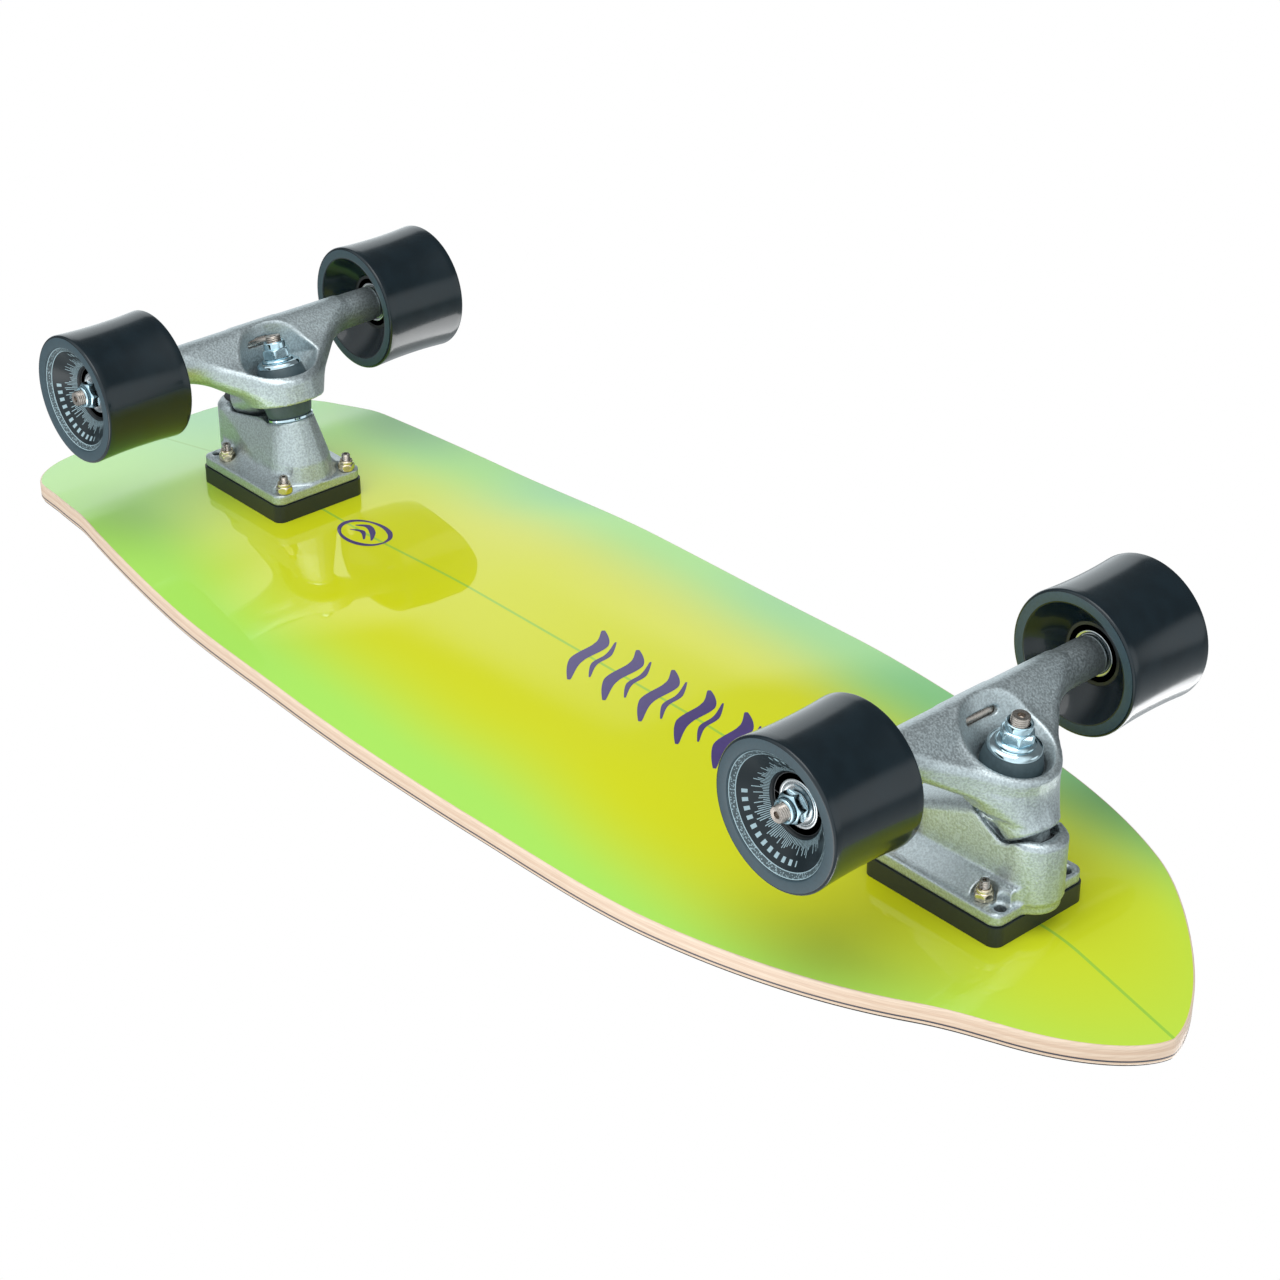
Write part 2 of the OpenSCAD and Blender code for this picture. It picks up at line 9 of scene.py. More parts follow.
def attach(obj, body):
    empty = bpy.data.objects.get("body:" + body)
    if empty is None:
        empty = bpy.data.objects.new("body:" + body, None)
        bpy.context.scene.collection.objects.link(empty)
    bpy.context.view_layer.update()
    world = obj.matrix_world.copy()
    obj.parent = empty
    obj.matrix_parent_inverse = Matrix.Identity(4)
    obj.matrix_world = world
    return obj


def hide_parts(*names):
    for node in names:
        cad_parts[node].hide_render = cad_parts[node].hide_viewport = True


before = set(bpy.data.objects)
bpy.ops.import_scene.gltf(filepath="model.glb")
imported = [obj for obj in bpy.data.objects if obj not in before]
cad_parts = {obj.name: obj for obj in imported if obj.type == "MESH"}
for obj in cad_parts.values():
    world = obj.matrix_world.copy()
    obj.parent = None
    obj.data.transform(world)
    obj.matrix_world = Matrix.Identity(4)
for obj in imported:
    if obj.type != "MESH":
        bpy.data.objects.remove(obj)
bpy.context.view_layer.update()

MM = 0.001
FRONT, REAR = 0, 1
NAME = ("front", "rear")
SIDES = (("left", 1), ("right", -1))

# ---- Sizes ----

# Most are the CAD source's own. Where the trucks differ, the front one's value comes first.
TRUCK_X = (271.0, -236.0)
PAD_Z = 117.6
LEAN = (8.0, 15.0)
RING_POS = ((18.9, 67.5), (-2.5, 63.3))
AXLE_X = (-4.1, 20.3)
PIVOT_POS = ((36.4, 39.0), (39.4, 41.0))
TRUCK_H = 83.1
PLATE_IN, PLATE_OUT = (36.3, 31.6), 41.8
RISER_T, PLATE_T, RISER_W = 9.6, 6.2, 57.0
PLATE_TOP = RISER_T + PLATE_T
BOLT_W, BOLT_L, SPARE_L = 41.3, 53.98, 9.52
BOLT_R, BOLT_HOLE_R, SPOT_R, SPARE_SPOT_R = 2.4, 2.7, 5.6, 3.9
BOLT_PITCH, PIN_PITCH = 0.79, 1.06
PLATE_CORNER, APRON_X, APRON_TOP = 5.0, (12.0, 9.0), (22.5, 20.5)

RING_HALF, RING_R, SEAT_HALF, SEAT_R = 5.2, 20.0, 2.7, 14.6
RING_TOP, RING_LOW = (7.6, 5.2), (-8.0, -5.2)
TOWER_TOP, TOWER_R = -17.6, (14.0, 12.5)
LOWER_WASHER_T, UPPER_WASHER_T, WASHER_ROOM_R = 1.9, 2.4, 13.4
ROAD_TOP = 12.5
KINGPIN_TIP = (28.6, 28.4)
KINGPIN_R, KINGPIN_CLEAR_R, AXLE_R = 4.75, 8.0, 3.97
CUP_R, CUP_DEPTH, CUP_RIM = 7.9, 8.2, 1.2
NOSE_R, NOSE_NECK, NOSE_FLARE, NOSE_BASE_R = 6.4, 2.0, 3.5, 9.0
ARM_R, ARM_CLEAR, CHIN_R = (13.0, 11.5), 1.2, (19.6, 15.0)
RELIEF_R, RELIEF_H = 17.4, 36.0
HEAD, WEBS = (7.5, 12.0), (6.0, 50.0)  # radius on the bar, and reach to each side
WEB_TOP = (6.0, 3.0)
STEER = (20.0, 18.0)
HOUSING_R, HOUSING_TOP, BLOCK_TOP = (12.0, 12.6), (45.0, 42.0), (43.0, 39.0)
FOOT_X, FOOT_R = (-14.0, -11.6), (15.0, 19.0)
WAIST_R, WAIST_Z, SHOULDER_Z = (14.6, 17.0), 26.0, (38.0, 26.5)
DISH_BACK_X, DISH_TILT = (-16.4, 15.8), (-31.3, -7.5)
DISH_WALL_R, DISH_BLEND = 24.0, (4.0, 9.0)
SLIT_HALF_L, SLIT_R, SLIT_DEPTH = 7.8, 1.75, 8.0

HANGER_END, HANGER_END_R = 77.0, 9.4
BEARING_IN, BEARING_OUT, BEARING_W = 77.9, 94.9, 7.0
STACK_END, NUT_BASE, AXLE_HALF, SPEED_WASHER_T = 101.9, 102.8, 114.0, 0.9
WHEEL_R, WHEEL_MID, WHEEL_HALF = 34.5, 89.9, 25.3

DECK_T, GRIP_T = 9.7, 0.8
NOSE_X, WIDEST_X, HALF_W = 388.0, 6.0, 124.5
TAIL_CORNER, TAIL_TAPER = 37.0, 622.0
CAMBER, CAMBER_FLAT, CAMBER_RAMP = 4.0, 75.0, 115.0
NOSE_RISE, NOSE_KICK_X, TAIL_SLOPE, TAIL_KICK_X = 17.8, 313.0, 0.19, -281.0
CONCAVE, CONCAVE_HALF_L, PAD_HALF_W = 11.0, 336.0, 35.0


# ---- Frames ----


def move(x, y, z):
    return Matrix.Translation((x, y, z))


def turn(degrees, axis):
    return Matrix.Rotation(math.radians(degrees), 4, axis)


def truck(t):
    """Origin on the deck's underside at the mounting centre, +X outboard, +Z away from the deck."""
    return move(TRUCK_X[t], 0, PAD_Z) @ turn(180, "X" if t == FRONT else "Y")


def pivot_angle(t):
    return math.degrees(math.atan2(RING_POS[t][0] - PIVOT_POS[t][0], RING_POS[t][1] - PIVOT_POS[t][1]))


def kingpin_in_truck(t):
    return move(RING_POS[t][0], 0, RING_POS[t][1]) @ turn(LEAN[t], "Y")


def pivot_in_truck(t):
    return move(PIVOT_POS[t][0], 0, PIVOT_POS[t][1]) @ turn(pivot_angle(t), "Y")


def axle_in_truck(t):
    return move(AXLE_X[t], 0, TRUCK_H) @ turn(90, "X")


def kingpin(t):
    return truck(t) @ kingpin_in_truck(t)


def axle(t):
    return truck(t) @ axle_in_truck(t)


def on_side(t, side):
    """+Z runs outwards along the axle from the board's centre plane."""
    flip = side * (1 if t == FRONT else -1) < 0
    return axle(t) @ (turn(180, "X") if flip else Matrix.Identity(4))


# ---- Materials ----


class Nodes:
    """Short calls for a material's node tree."""

    def __init__(self, tree):
        self.tree = tree

    def add(self, kind, **inputs):
        node = self.tree.nodes.new(kind)
        for key, value in inputs.items():
            self.feed(node, key.replace("_", " "), value)
        return node

    def feed(self, node, key, value):
        socket = node.inputs[key]
        if isinstance(value, bpy.types.NodeSocket):
            self.tree.links.new(value, socket)
        else:
            socket.default_value = value

    def math(self, operation, *values):
        node = self.add("ShaderNodeMath")
        node.operation = operation
        for i, value in enumerate(values):
            self.feed(node, i, value)
        return node.outputs[0]

    def between(self, value, low, high):
        above = self.math("GREATER_THAN", value, low)
        return self.math("MULTIPLY", above, self.math("LESS_THAN", value, high))

    def fade(self, value, start, end, low=0.0, high=1.0):
        node = self.add("ShaderNodeMapRange")
        node.interpolation_type = "SMOOTHSTEP"
        for i, v in enumerate((value, start, end, low, high)):
            self.feed(node, i, v)
        return node.outputs[0]

    def noise(self, scale, detail, vector):
        return self.add("ShaderNodeTexNoise", Vector=vector, Scale=scale, Detail=detail).outputs[0]

    def place(self, output="Object"):
        return self.add("ShaderNodeTexCoord").outputs[output]

    def split(self, vector):
        return self.add("ShaderNodeSeparateXYZ", Vector=vector).outputs

    def mix(self, factor, a, b):
        node = self.add("ShaderNodeMix")
        node.data_type = "RGBA"
        for i, value in ((0, factor), (6, a), (7, b)):
            self.feed(node, i, (*value, 1) if isinstance(value, tuple) and len(value) == 3 else value)
        return node.outputs[2]

    def bump(self, height, strength, distance):
        return self.add("ShaderNodeBump", Height=height, Strength=strength, Distance=distance).outputs[0]


def material(name, colour, roughness, metallic=0.0, **sockets):
    """(material, its nodes, its shader), with plain values set on the shader's own sockets."""
    made = bpy.data.materials.new(name)
    made.use_nodes = True
    shader = made.node_tree.nodes["Principled BSDF"]
    shader.inputs["Base Color"].default_value = (*colour, 1)
    shader.inputs["Roughness"].default_value = roughness
    shader.inputs["Metallic"].default_value = metallic
    for key, value in sockets.items():
        shader.inputs[key.replace("_", " ")].default_value = value
    return made, Nodes(made.node_tree), shader


def speckled(name, colour, roughness, metallic, scale, spread, bump, **sockets):
    """A finish with fine grain: its colour, its gloss and its relief vary a little."""
    made, n, shader = material(name, colour, roughness, metallic, **sockets)
    grain = n.noise(scale, 3.0, n.place())
    dark = tuple(c * (1 - spread) for c in colour)
    light = tuple(min(1.0, c * (1 + spread)) for c in colour)
    n.feed(shader, "Base Color", n.mix(n.fade(grain, 0.35, 0.65), dark, light))
    n.feed(shader, "Roughness", n.fade(grain, 0.3, 0.7, roughness * (1 - spread), roughness * (1 + spread)))
    n.feed(shader, "Normal", n.bump(grain, bump, 0.0004))
    return made


YELLOW, LIME, SEA_GREEN = (0.69, 0.70, 0.003), (0.43, 0.80, 0.11), (0.20, 0.55, 0.22)
STRINGER, PRINT_MEAN = (0.25, 0.55, 0.06), (0.6, 0.66, 0.01)
CLEAR_COAT = {"Coat_Weight": 1.0, "Coat_Roughness": 0.03}


def print_material():
    """Clear-coated print under the deck: yellow core, lime rails, sea green at the right and the tail."""
    made, n, shader = material("deck_print", PRINT_MEAN, 0.35, Specular_IOR_Level=0.1, **CLEAR_COAT)
    at = n.split(n.place())
    x, y = at[0], at[1]
    wander = n.math("SUBTRACT", n.noise(6.0, 1.0, n.place()), 0.5)
    along = n.math("ABSOLUTE", n.math("DIVIDE", n.math("SUBTRACT", x, 0.065), 0.39))
    across = n.math("ABSOLUTE", n.math("DIVIDE", y, 0.118))
    reach = n.math("ADD", n.math("POWER", along, 3.0), n.math("POWER", across, 2.4))
    reach = n.math("ADD", reach, n.math("MULTIPLY", wander, 0.35))
    colour = n.mix(n.fade(reach, 0.13, 1.0), YELLOW, LIME)
    right = n.fade(y, -0.045, -0.115)
    tail = n.math("MULTIPLY", n.fade(x, -0.24, -0.37), n.fade(y, 0.06, -0.04, 0.35, 1.0))
    sea = n.math("MULTIPLY", n.math("MAXIMUM", right, tail), n.fade(wander, -0.12, 0.1, 0.35, 0.85))
    colour = n.mix(sea, colour, SEA_GREEN)
    line = n.math("LESS_THAN", n.math("ABSOLUTE", y), 0.0008)
    n.feed(shader, "Base Color", n.mix(n.math("MULTIPLY", line, 0.7), colour, STRINGER))
    return made


MAPLE_PALE, MAPLE_DARK, DYED_PLY = (0.86, 0.66, 0.50), (0.72, 0.49, 0.34), (0.045, 0.045, 0.06)
MAPLE_GRAIN, GLUE, EDGE_MEAN = (0.55, 0.34, 0.22), (0.5, 0.33, 0.22), (0.8, 0.6, 0.45)
PLIES = 7.0


def ply_material():
    """Seven maple plies on the deck's edge, one of them dyed dark. V runs from the print to the grip."""
    made, n, shader = material("deck_edge", EDGE_MEAN, 0.5, Coat_Weight=0.3, Coat_Roughness=0.2)
    v = n.split(n.place("UV"))[1]
    stretch = n.add("ShaderNodeMapping", Vector=n.place(), Scale=(30.0, 30.0, 900.0)).outputs[0]
    grain = n.noise(3.0, 4.0, stretch)
    level = n.math("MULTIPLY", v, PLIES)
    tone = n.math("FRACT", n.math("MULTIPLY", n.math("FLOOR", level), 0.37))
    wood = n.mix(tone, MAPLE_PALE, MAPLE_DARK)
    wood = n.mix(n.math("MULTIPLY", n.fade(grain, 0.4, 0.7), 0.35), wood, MAPLE_GRAIN)
    glue = n.math("LESS_THAN", n.math("FRACT", level), 0.07)
    wood = n.mix(n.math("MULTIPLY", glue, 0.25), wood, GLUE)
    n.feed(shader, "Base Color", n.mix(n.between(v, 0.745, 0.83), wood, DYED_PLY))
    return made


FACE_BLACK, FACE_INK = (0.007, 0.014, 0.018), (0.36, 0.48, 0.52)
BAND_R, BAND_LINE = (25.3, 27.4), 0.3
RAYS, RAY_START, RAY_REACH, RAY_SPREAD = 128.0, 15.0, 16.6, 4.2
DASHES, DASH_R = 36.0, (21.6, 23.6)


def face_rays(n, u, radius):
    """A sunburst round the hub, with rays of unequal length."""
    tick = n.math("MULTIPLY", u, RAYS)
    length = n.add("ShaderNodeTexWhiteNoise")
    length.noise_dimensions = "1D"
    n.feed(length, "W", n.math("FLOOR", tick))
    tip = n.math("ADD", RAY_REACH, n.math("MULTIPLY", length.outputs["Value"], RAY_SPREAD))
    ray = n.math("LESS_THAN", n.math("FRACT", tick), 0.4)
    return n.math("MULTIPLY", ray, n.between(radius, RAY_START, tip))


def face_band(n, radius):
    """A dotted band between two thin rims."""
    pattern = n.add("ShaderNodeTexVoronoi", Vector=n.place(), Scale=1100.0).outputs["Distance"]
    weave = n.fade(pattern, 0.25, 0.45, 0.8, 0.15)
    band = n.math("MULTIPLY", n.between(radius, BAND_R[0], BAND_R[1] + BAND_LINE), weave)
    for rim in BAND_R:
        band = n.math("MAXIMUM", band, n.between(radius, rim, rim + BAND_LINE))
    return band


def face_dashes(n, u, radius):
    """Two arcs of dashes, opposite each other."""
    dash = n.math("LESS_THAN", n.math("FRACT", n.math("MULTIPLY", u, DASHES)), 0.45)
    arcs = n.math("LESS_THAN", n.math("FRACT", n.math("MULTIPLY", u, 2.0)), 0.62)
    return n.math("MULTIPLY", n.math("MULTIPLY", n.between(radius, *DASH_R), dash), arcs)


def face_material():
    """Wheel face with a pale print. U runs round the wheel and V is the radius in units of 100 mm."""
    made, n, shader = material(
        "wheel_face", FACE_BLACK, 0.3, Specular_IOR_Level=0.3, Coat_Weight=0.15, Coat_Roughness=0.15
    )
    u, v = n.split(n.place("UV"))[:2]
    radius = n.math("MULTIPLY", v, 100.0)
    ink = n.math("MAXIMUM", face_band(n, radius), face_rays(n, u, radius))
    ink = n.math("MAXIMUM", ink, face_dashes(n, u, radius))
    n.feed(shader, "Base Color", n.mix(ink, FACE_BLACK, FACE_INK))
    return made


def grip_material():
    """Black grit: its lighter specks are partly the grit's own tone and partly a painted sparkle."""
    made, n, shader = material("grip_grit", (0.02, 0.02, 0.022), 0.9)
    grit = n.noise(2600.0, 2.0, n.place())
    # Lighter specks in the colour: partly the grit's own tone, partly a painted sparkle.
    n.feed(shader, "Base Color", n.mix(n.fade(grit, 0.45, 0.75), (0.012, 0.012, 0.013), (0.075, 0.075, 0.08)))
    n.feed(shader, "Normal", n.bump(grit, 1.0, 0.0006))
    return made


# name, colour, roughness, metallic, then the scale, spread and bump of the grain
FINISHES = {
    "ink": ("deck_ink", (0.05, 0.02, 0.16), 0.35, 0.0, 300.0, 0.06, 0.0),
    "urethane": ("urethane", (0.004, 0.011, 0.016), 0.22, 0.0, 90.0, 0.12, 0.02),
    # The cut lip's lighter colour is partly the matte cut urethane's own tone and partly a painted sheen.
    "lip": ("urethane_cut_painted_sheen", (0.034, 0.064, 0.08), 0.45, 0.0, 700.0, 0.08, 0.05),
    "core": ("wheel_core", (0.01, 0.012, 0.014), 0.35, 0.0, 400.0, 0.1, 0.05),
    "cast": ("cast_aluminium", (0.50, 0.555, 0.57), 0.40, 0.85, 1000.0, 0.17, 0.35),
    "polish": ("polished_steel", (0.78, 0.8, 0.8), 0.12, 1.0, 900.0, 0.04, 0.02),
    "zinc": ("bright_zinc", (0.56, 0.74, 0.82), 0.14, 1.0, 500.0, 0.06, 0.03),
    "washer": ("cupped_washer", (0.62, 0.76, 0.82), 0.10, 1.0, 400.0, 0.05, 0.02),
    "steel": ("turned_steel", (0.46, 0.41, 0.37), 0.28, 1.0, 900.0, 0.1, 0.05),
    "brass": ("yellow_zinc", (0.72, 0.62, 0.45), 0.2, 1.0, 600.0, 0.08, 0.03),
    "rubber": ("bushing_urethane", (0.055, 0.085, 0.098), 0.45, 0.0, 500.0, 0.08, 0.05),
    "cup": ("pivot_cup_urethane", (0.03, 0.032, 0.035), 0.5, 0.0, 500.0, 0.1, 0.05),
    "riser": ("riser_plastic", (0.014, 0.019, 0.018), 0.4, 0.0, 1200.0, 0.12, 0.15),
    "shield": ("bearing_shield", (0.55, 0.57, 0.58), 0.25, 1.0, 700.0, 0.06, 0.05),
    "race": ("bearing_race", (0.6, 0.62, 0.63), 0.18, 1.0, 700.0, 0.05, 0.03),
}
COATS = {
    "ink": CLEAR_COAT,
    "urethane": {"Specular_IOR_Level": 0.35, "Coat_Weight": 0.3, "Coat_Roughness": 0.06},
}


def make_materials():
    """Every finish, by the short name that the pieces use."""
    made = {
        "print": print_material(), "ply": ply_material(), "grip": grip_material(), "face": face_material()
    }
    for finish, row in FINISHES.items():
        made[finish] = speckled(*row, **COATS.get(finish, {}))
    return made


# ---- Meshes ----


def polar(radii, heights):
    """A surface from rows of radii and heights about Z: (vertices, quads, a UV for each corner)."""
    rows, n = radii.shape
    a = 2 * math.pi * np.arange(n) / n
    points = np.stack([radii * np.cos(a), radii * np.sin(a), heights], -1).reshape(-1, 3)
    i, j = np.meshgrid(np.arange(rows - 1), np.arange(n), indexing="ij")
    k = (j + 1) % n
    quads = np.stack([i * n + j, i * n + k, (i + 1) * n + k, (i + 1) * n + j], -1).reshape(-1, 4)
    u = np.stack([j, j + 1, j + 1, j], -1) / n
    v = np.stack([radii[i, j], radii[i, k], radii[i + 1, k], radii[i + 1, j]], -1) / 100
    return points, quads, np.stack([u, v], -1).reshape(-1, 4, 2)


def lathe(profile, segments=72):
    """Turns (radius, height) points about Z. A third number cuts its row to a hexagon's half width."""
    a = np.arange(segments) / segments * 360 % 60 - 30
    hexagon = 1 / np.cos(np.radians(a))
    cuts = [p[2] * hexagon if len(p) > 2 else np.full(segments, math.inf) for p in profile]
    radii = np.array([np.minimum(p[0], cut) for p, cut in zip(profile, cuts)])
    heights = np.array([np.full(segments, p[1]) for p in profile], float)
    return polar(radii, heights)


def arc(cx, cy, r, start, end, steps=5):
    """Points of a fillet in a profile, from one angle to another in degrees."""
    return [
        (cx + r * math.cos(math.radians(a)), cy + r * math.sin(math.radians(a)))
        for a in np.linspace(start, end, steps)
    ]


def ring_profile(outer, inner, z0, z1, soft):
    """A washer's section with rounded corners, closed on itself."""
    return [
        (inner, z0 + soft), *arc(inner + soft, z0 + soft, soft, 180, 270, 4),
        *arc(outer - soft, z0 + soft, soft, 270, 360, 4), *arc(outer - soft, z1 - soft, soft, 0, 90, 4),
        *arc(inner + soft, z1 - soft, soft, 90, 180, 4), (inner, z0 + soft),
    ]


def hex_rows(half, z0, z1, corner=0.9):
    """Side rows of a hexagon with its corners turned down at both ends."""
    reach = half / math.cos(math.radians(30)) + 0.02
    start = half * 0.97
    steps = np.linspace(0, 1, 5)
    low = [(start + (reach - start) * s, z0 + corner * s * 0.5, half) for s in steps]
    high = [(start + (reach - start) * s, z1 - corner * s, half) for s in steps[::-1]]
    return low + high


def lock_nut(half, bore, h, flange=0.0):
    """Hexagon nut with a round nylon collar, standing on z = 0, and a pressed flange if it has one."""
    base = [(bore, 0.05), (bore + 0.4, 0)]
    if flange:
        base += [(flange - 0.3, 0), (flange, 0.35), (flange - 0.3, 0.9), (half * 1.12, 1.5)]
    start = 1.5 if flange else 0.0
    top = 0.66 * h
    collar, soft = half * 0.9, 0.9
    crown = [(collar, top + 0.1), (collar, h - soft), *arc(collar - soft, h - soft, soft, 0, 80, 4)]
    crown += [(bore + 0.9, h), (bore + 0.5, h - 0.6), (bore, h - 1.0)]
    return lathe(base + hex_rows(half, start, top) + crown)


def threaded(radius, pitch, length, depth, segments):
    """The threaded end of a pin, standing on z = 0, with a centre drilled in its tip."""
    rows_per_turn, drill_r = 7, radius * 0.42
    rows = int(length / pitch * rows_per_turn) + 1
    z = np.linspace(0, length, rows)[:, None] * np.ones((1, segments))
    phase = (z / pitch - np.arange(segments)[None] / segments) % 1
    r = radius - depth * np.abs(2 * phase - 1)
    r = np.minimum(r, radius - depth * 0.9 + (length - z) * 0.9)
    drill = [(drill_r, length - 0.1), (drill_r * 0.85, length - 1.8), (0, length - 2.2)]
    caps = [(radius * 0.8, length), *drill]
    r = np.vstack([r] + [np.full((1, segments), c[0]) for c in caps])
    z = np.vstack([z] + [np.full((1, segments), c[1]) for c in caps])
    return polar(r, z)


def plain_shape(points, faces):
    faces = np.asarray(faces)
    return np.asarray(points, float), faces, np.zeros((len(faces), faces.shape[1], 2))


def new_object(name, data):
    """An object in the scene's own collection."""
    made = bpy.data.objects.new(name, data)
    bpy.context.scene.collection.objects.link(made)
    return made


def build(name, shapes, body, replaces=(), sharp=38.0):
    """One piece from (shape, material, matrix) entries, riding on a CAD body."""
    points, faces, uvs, owner, mats = [], [], [], [], []
    base = 0
    for (v, f, uv), mat, matrix in shapes:
        m = np.array(matrix)
        if mat not in mats:
            mats.append(mat)
        points.append((v @ m[:3, :3].T + m[:3, 3]) * MM)
        faces += (f + base).tolist()
        uvs.append(uv.reshape(-1, 2))
        owner += [mats.index(mat)] * len(f)
        base += len(v)
    mesh = bpy.data.meshes.new(name)
    mesh.from_pydata(np.concatenate(points), [], faces)
    mesh.uv_layers.new(name="UVMap").data.foreach_set("uv", np.concatenate(uvs).astype(np.float32).ravel())
    mesh.polygons.foreach_set("material_index", owner)
    for mat in mats:
        mesh.materials.append(mat)
    tidy(mesh, sharp)
    made = new_object(name, mesh)
    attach(made, body)
    if replaces:
        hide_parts(*replaces)
    return made


def fit(prefix, piece, shapes, body, node, sharp=38.0):
    """One piece of a truck or a wheel, in place of its CAD node."""
    build(f"{prefix}_{piece}", shapes, body, [f"{prefix}_{node}"], sharp)


def tidy(mesh, sharp):
    """Joins rows that meet in a point, faces every shell outwards and shades it smooth."""
    work = bmesh.new()
    work.from_mesh(mesh)
    bmesh.ops.remove_doubles(work, verts=work.verts, dist=2e-6)
    bmesh.ops.recalc_face_normals(work, faces=work.faces)
    work.to_mesh(mesh)
    work.free()
    mesh.shade_smooth()
    mesh.set_sharp_from_angle(angle=math.radians(sharp))


# ---- Castings, as distance fields ----


def soft_min(a, b, k):
    h = np.clip(0.5 + 0.5 * (b - a) / k, 0, 1)
    return b + (a - b) * h - k * h * (1 - h)


def soft_max(a, b, k):
    return -soft_min(-a, -b, k)


class Field:
    """Distances in one truck's frame, negative inside the metal. The casting is alike left and right."""

    def __init__(self, low, high, half_width, step):
        self.step = step
        self.origin = np.array([low[0], 0.0, low[1]])
        x = np.arange(low[0], high[0], step)
        y = (np.arange(int(half_width / step) + 1) + 0.5) * step
        z = np.arange(low[1], high[1], step)
        self.x, self.y, self.z = np.meshgrid(x, y, z, indexing="ij")

    def local(self, matrix):
        """Coordinates in a frame that stands in the truck's frame."""
        m = np.array(matrix.inverted())
        return tuple(m[k, 0] * self.x + m[k, 1] * self.y + m[k, 2] * self.z + m[k, 3] for k in range(3))

    def rod(self, matrix, radius, low, high, soft=0.8, radius_end=None):
        """A round bar or a cone along the matrix's Z."""
        u, v, w = self.local(matrix)
        end = radius if radius_end is None else radius_end
        r = radius + (end - radius) * np.clip((w - low) / (high - low), 0, 1)
        return soft_max(np.hypot(u, v) - r, np.maximum(low - w, w - high), soft)

    def slab(self, x0, x1, half, z0, z1, corner, soft):
        """A plate with rounded corners, lying flat."""
        qx = np.abs(self.x - (x0 + x1) / 2) - (x1 - x0) / 2 + corner
        qy = np.abs(self.y) - half + corner
        flat = np.hypot(np.maximum(qx, 0), np.maximum(qy, 0)) + np.minimum(np.maximum(qx, qy), 0) - corner
        return soft_max(flat, np.maximum(z0 - self.z, self.z - z1), soft)

    def hull(self, points):
        """The convex hull of a cloud of points."""
        work = bmesh.new()
        for p in points:
            work.verts.new(p)
        bmesh.ops.convex_hull(work, input=work.verts)
        work.normal_update()
        planes = {tuple(round(c, 3) for c in (*f.normal, f.normal.dot(f.verts[0].co))) for f in work.faces}
        work.free()
        planes = np.array(sorted(planes), np.float32)
        flat = np.stack([self.x.ravel(), self.y.ravel(), self.z.ravel()], 1).astype(np.float32)
        out = np.empty(len(flat), np.float32)
        chunk = 60000
        for i in range(0, len(flat), chunk):
            part = flat[i : i + chunk]
            out[i : i + chunk] = (part @ planes[:, :3].T - planes[:, 3]).max(1)
        return out.reshape(self.x.shape)

    def mesh(self, field):
        """Quads on the surface where the distance is zero, on both sides of the centre plane."""
        whole = np.concatenate([field[:, ::-1], field], 1)
        start = self.origin + np.array([0, -(field.shape[1] - 0.5) * self.step, 0])
        points, quads = surface_net(whole)
        return plain_shape(start + points * self.step, quads)


def surface_net(field):
    """Naive surface nets: one vertex for each cell that the surface crosses, one quad for each edge."""
    shape = tuple(s - 1 for s in field.shape)
    total = np.zeros((int(np.prod(shape)), 3))
    count = np.zeros(int(np.prod(shape)))
    edges = []
    for axis in range(3):
        low = np.take(field, range(field.shape[axis] - 1), axis)
        high = np.take(field, range(1, field.shape[axis]), axis)
        at = np.argwhere((low < 0) != (high < 0))
        a, b = low[tuple(at.T)], high[tuple(at.T)]
        point = at.astype(float)
        point[:, axis] += a / (a - b)
        others = [k for k in range(3) if k != axis]
        inside = np.all([(at[:, k] > 0) & (at[:, k] < field.shape[k] - 1) for k in others], 0)
        at, point, a = at[inside], point[inside], a[inside]
        cells = []
        for dj, dk in ((0, 0), (1, 0), (1, 1), (0, 1)):
            cell = at.copy()
            cell[:, others[0]] -= dj
            cell[:, others[1]] -= dk
            index = np.ravel_multi_index(tuple(cell.T), shape)
            cells.append(index)
            for k in range(3):
                total[:, k] += np.bincount(index, point[:, k], len(total))
            count += np.bincount(index, minlength=len(count))
        edges.append(np.stack(cells, 1))
    used = np.flatnonzero(count)
    number = np.full(len(count), -1)
    number[used] = np.arange(len(used))
    return total[used] / count[used, None], number[np.concatenate(edges)]


def circle(matrix, radius, height, n=24):
    """Points of a circle about the matrix's Z, in the truck's frame."""
    a = 2 * math.pi * np.arange(n) / n
    return [matrix @ Vector((radius * math.cos(t), radius * math.sin(t), height)) for t in a]


def disc_hull(field, *discs):
    return field.hull([p for matrix, radius, height in discs for p in circle(matrix, radius, height)])


def wall_frame(f, matrix, x, z, tilt):
    """Distances in front of and along a wall that leans in the frame's XZ plane."""
    u, _, w = f.local(matrix)
    c, d = math.cos(math.radians(tilt)), math.sin(math.radians(tilt))
    return (u - x) * c - (w - z) * d, (u - x) * d + (w - z) * c


def dish_field(t, f, pin):
    """The cone round the road-side bushing, with a hollow back wall in front of the axle."""
    rim_r, depth = ((27.0, 17.0), (23.0, 9.0))[t]
    u, v, w = f.local(pin)
    r = np.interp(w, (RING_HALF, RING_HALF + depth), (SEAT_R + 0.2, rim_r))
    cone = soft_max(np.hypot(u, v) - r, RING_HALF - w, 0.2)
    front, _ = wall_frame(f, pin, DISH_BACK_X[t], RING_HALF, DISH_TILT[t])
    wall = -front if t == FRONT else front
    return soft_max(cone, wall + f.y * f.y / (2 * DISH_WALL_R), DISH_BLEND[t])


def window_field(t, f):
    """The slit in the dish's back wall, through which the axle shows."""
    facing = 1 if t == FRONT else -1
    ahead, along = wall_frame(f, move(AXLE_X[t], 0, TRUCK_H), 0, 0, DISH_TILT[t] + LEAN[t])
    slit = np.hypot(np.maximum(np.abs(f.y) - SLIT_HALF_L, 0), along) - SLIT_R
    return np.maximum(slit, np.maximum(-facing * ahead, facing * ahead - SLIT_DEPTH))


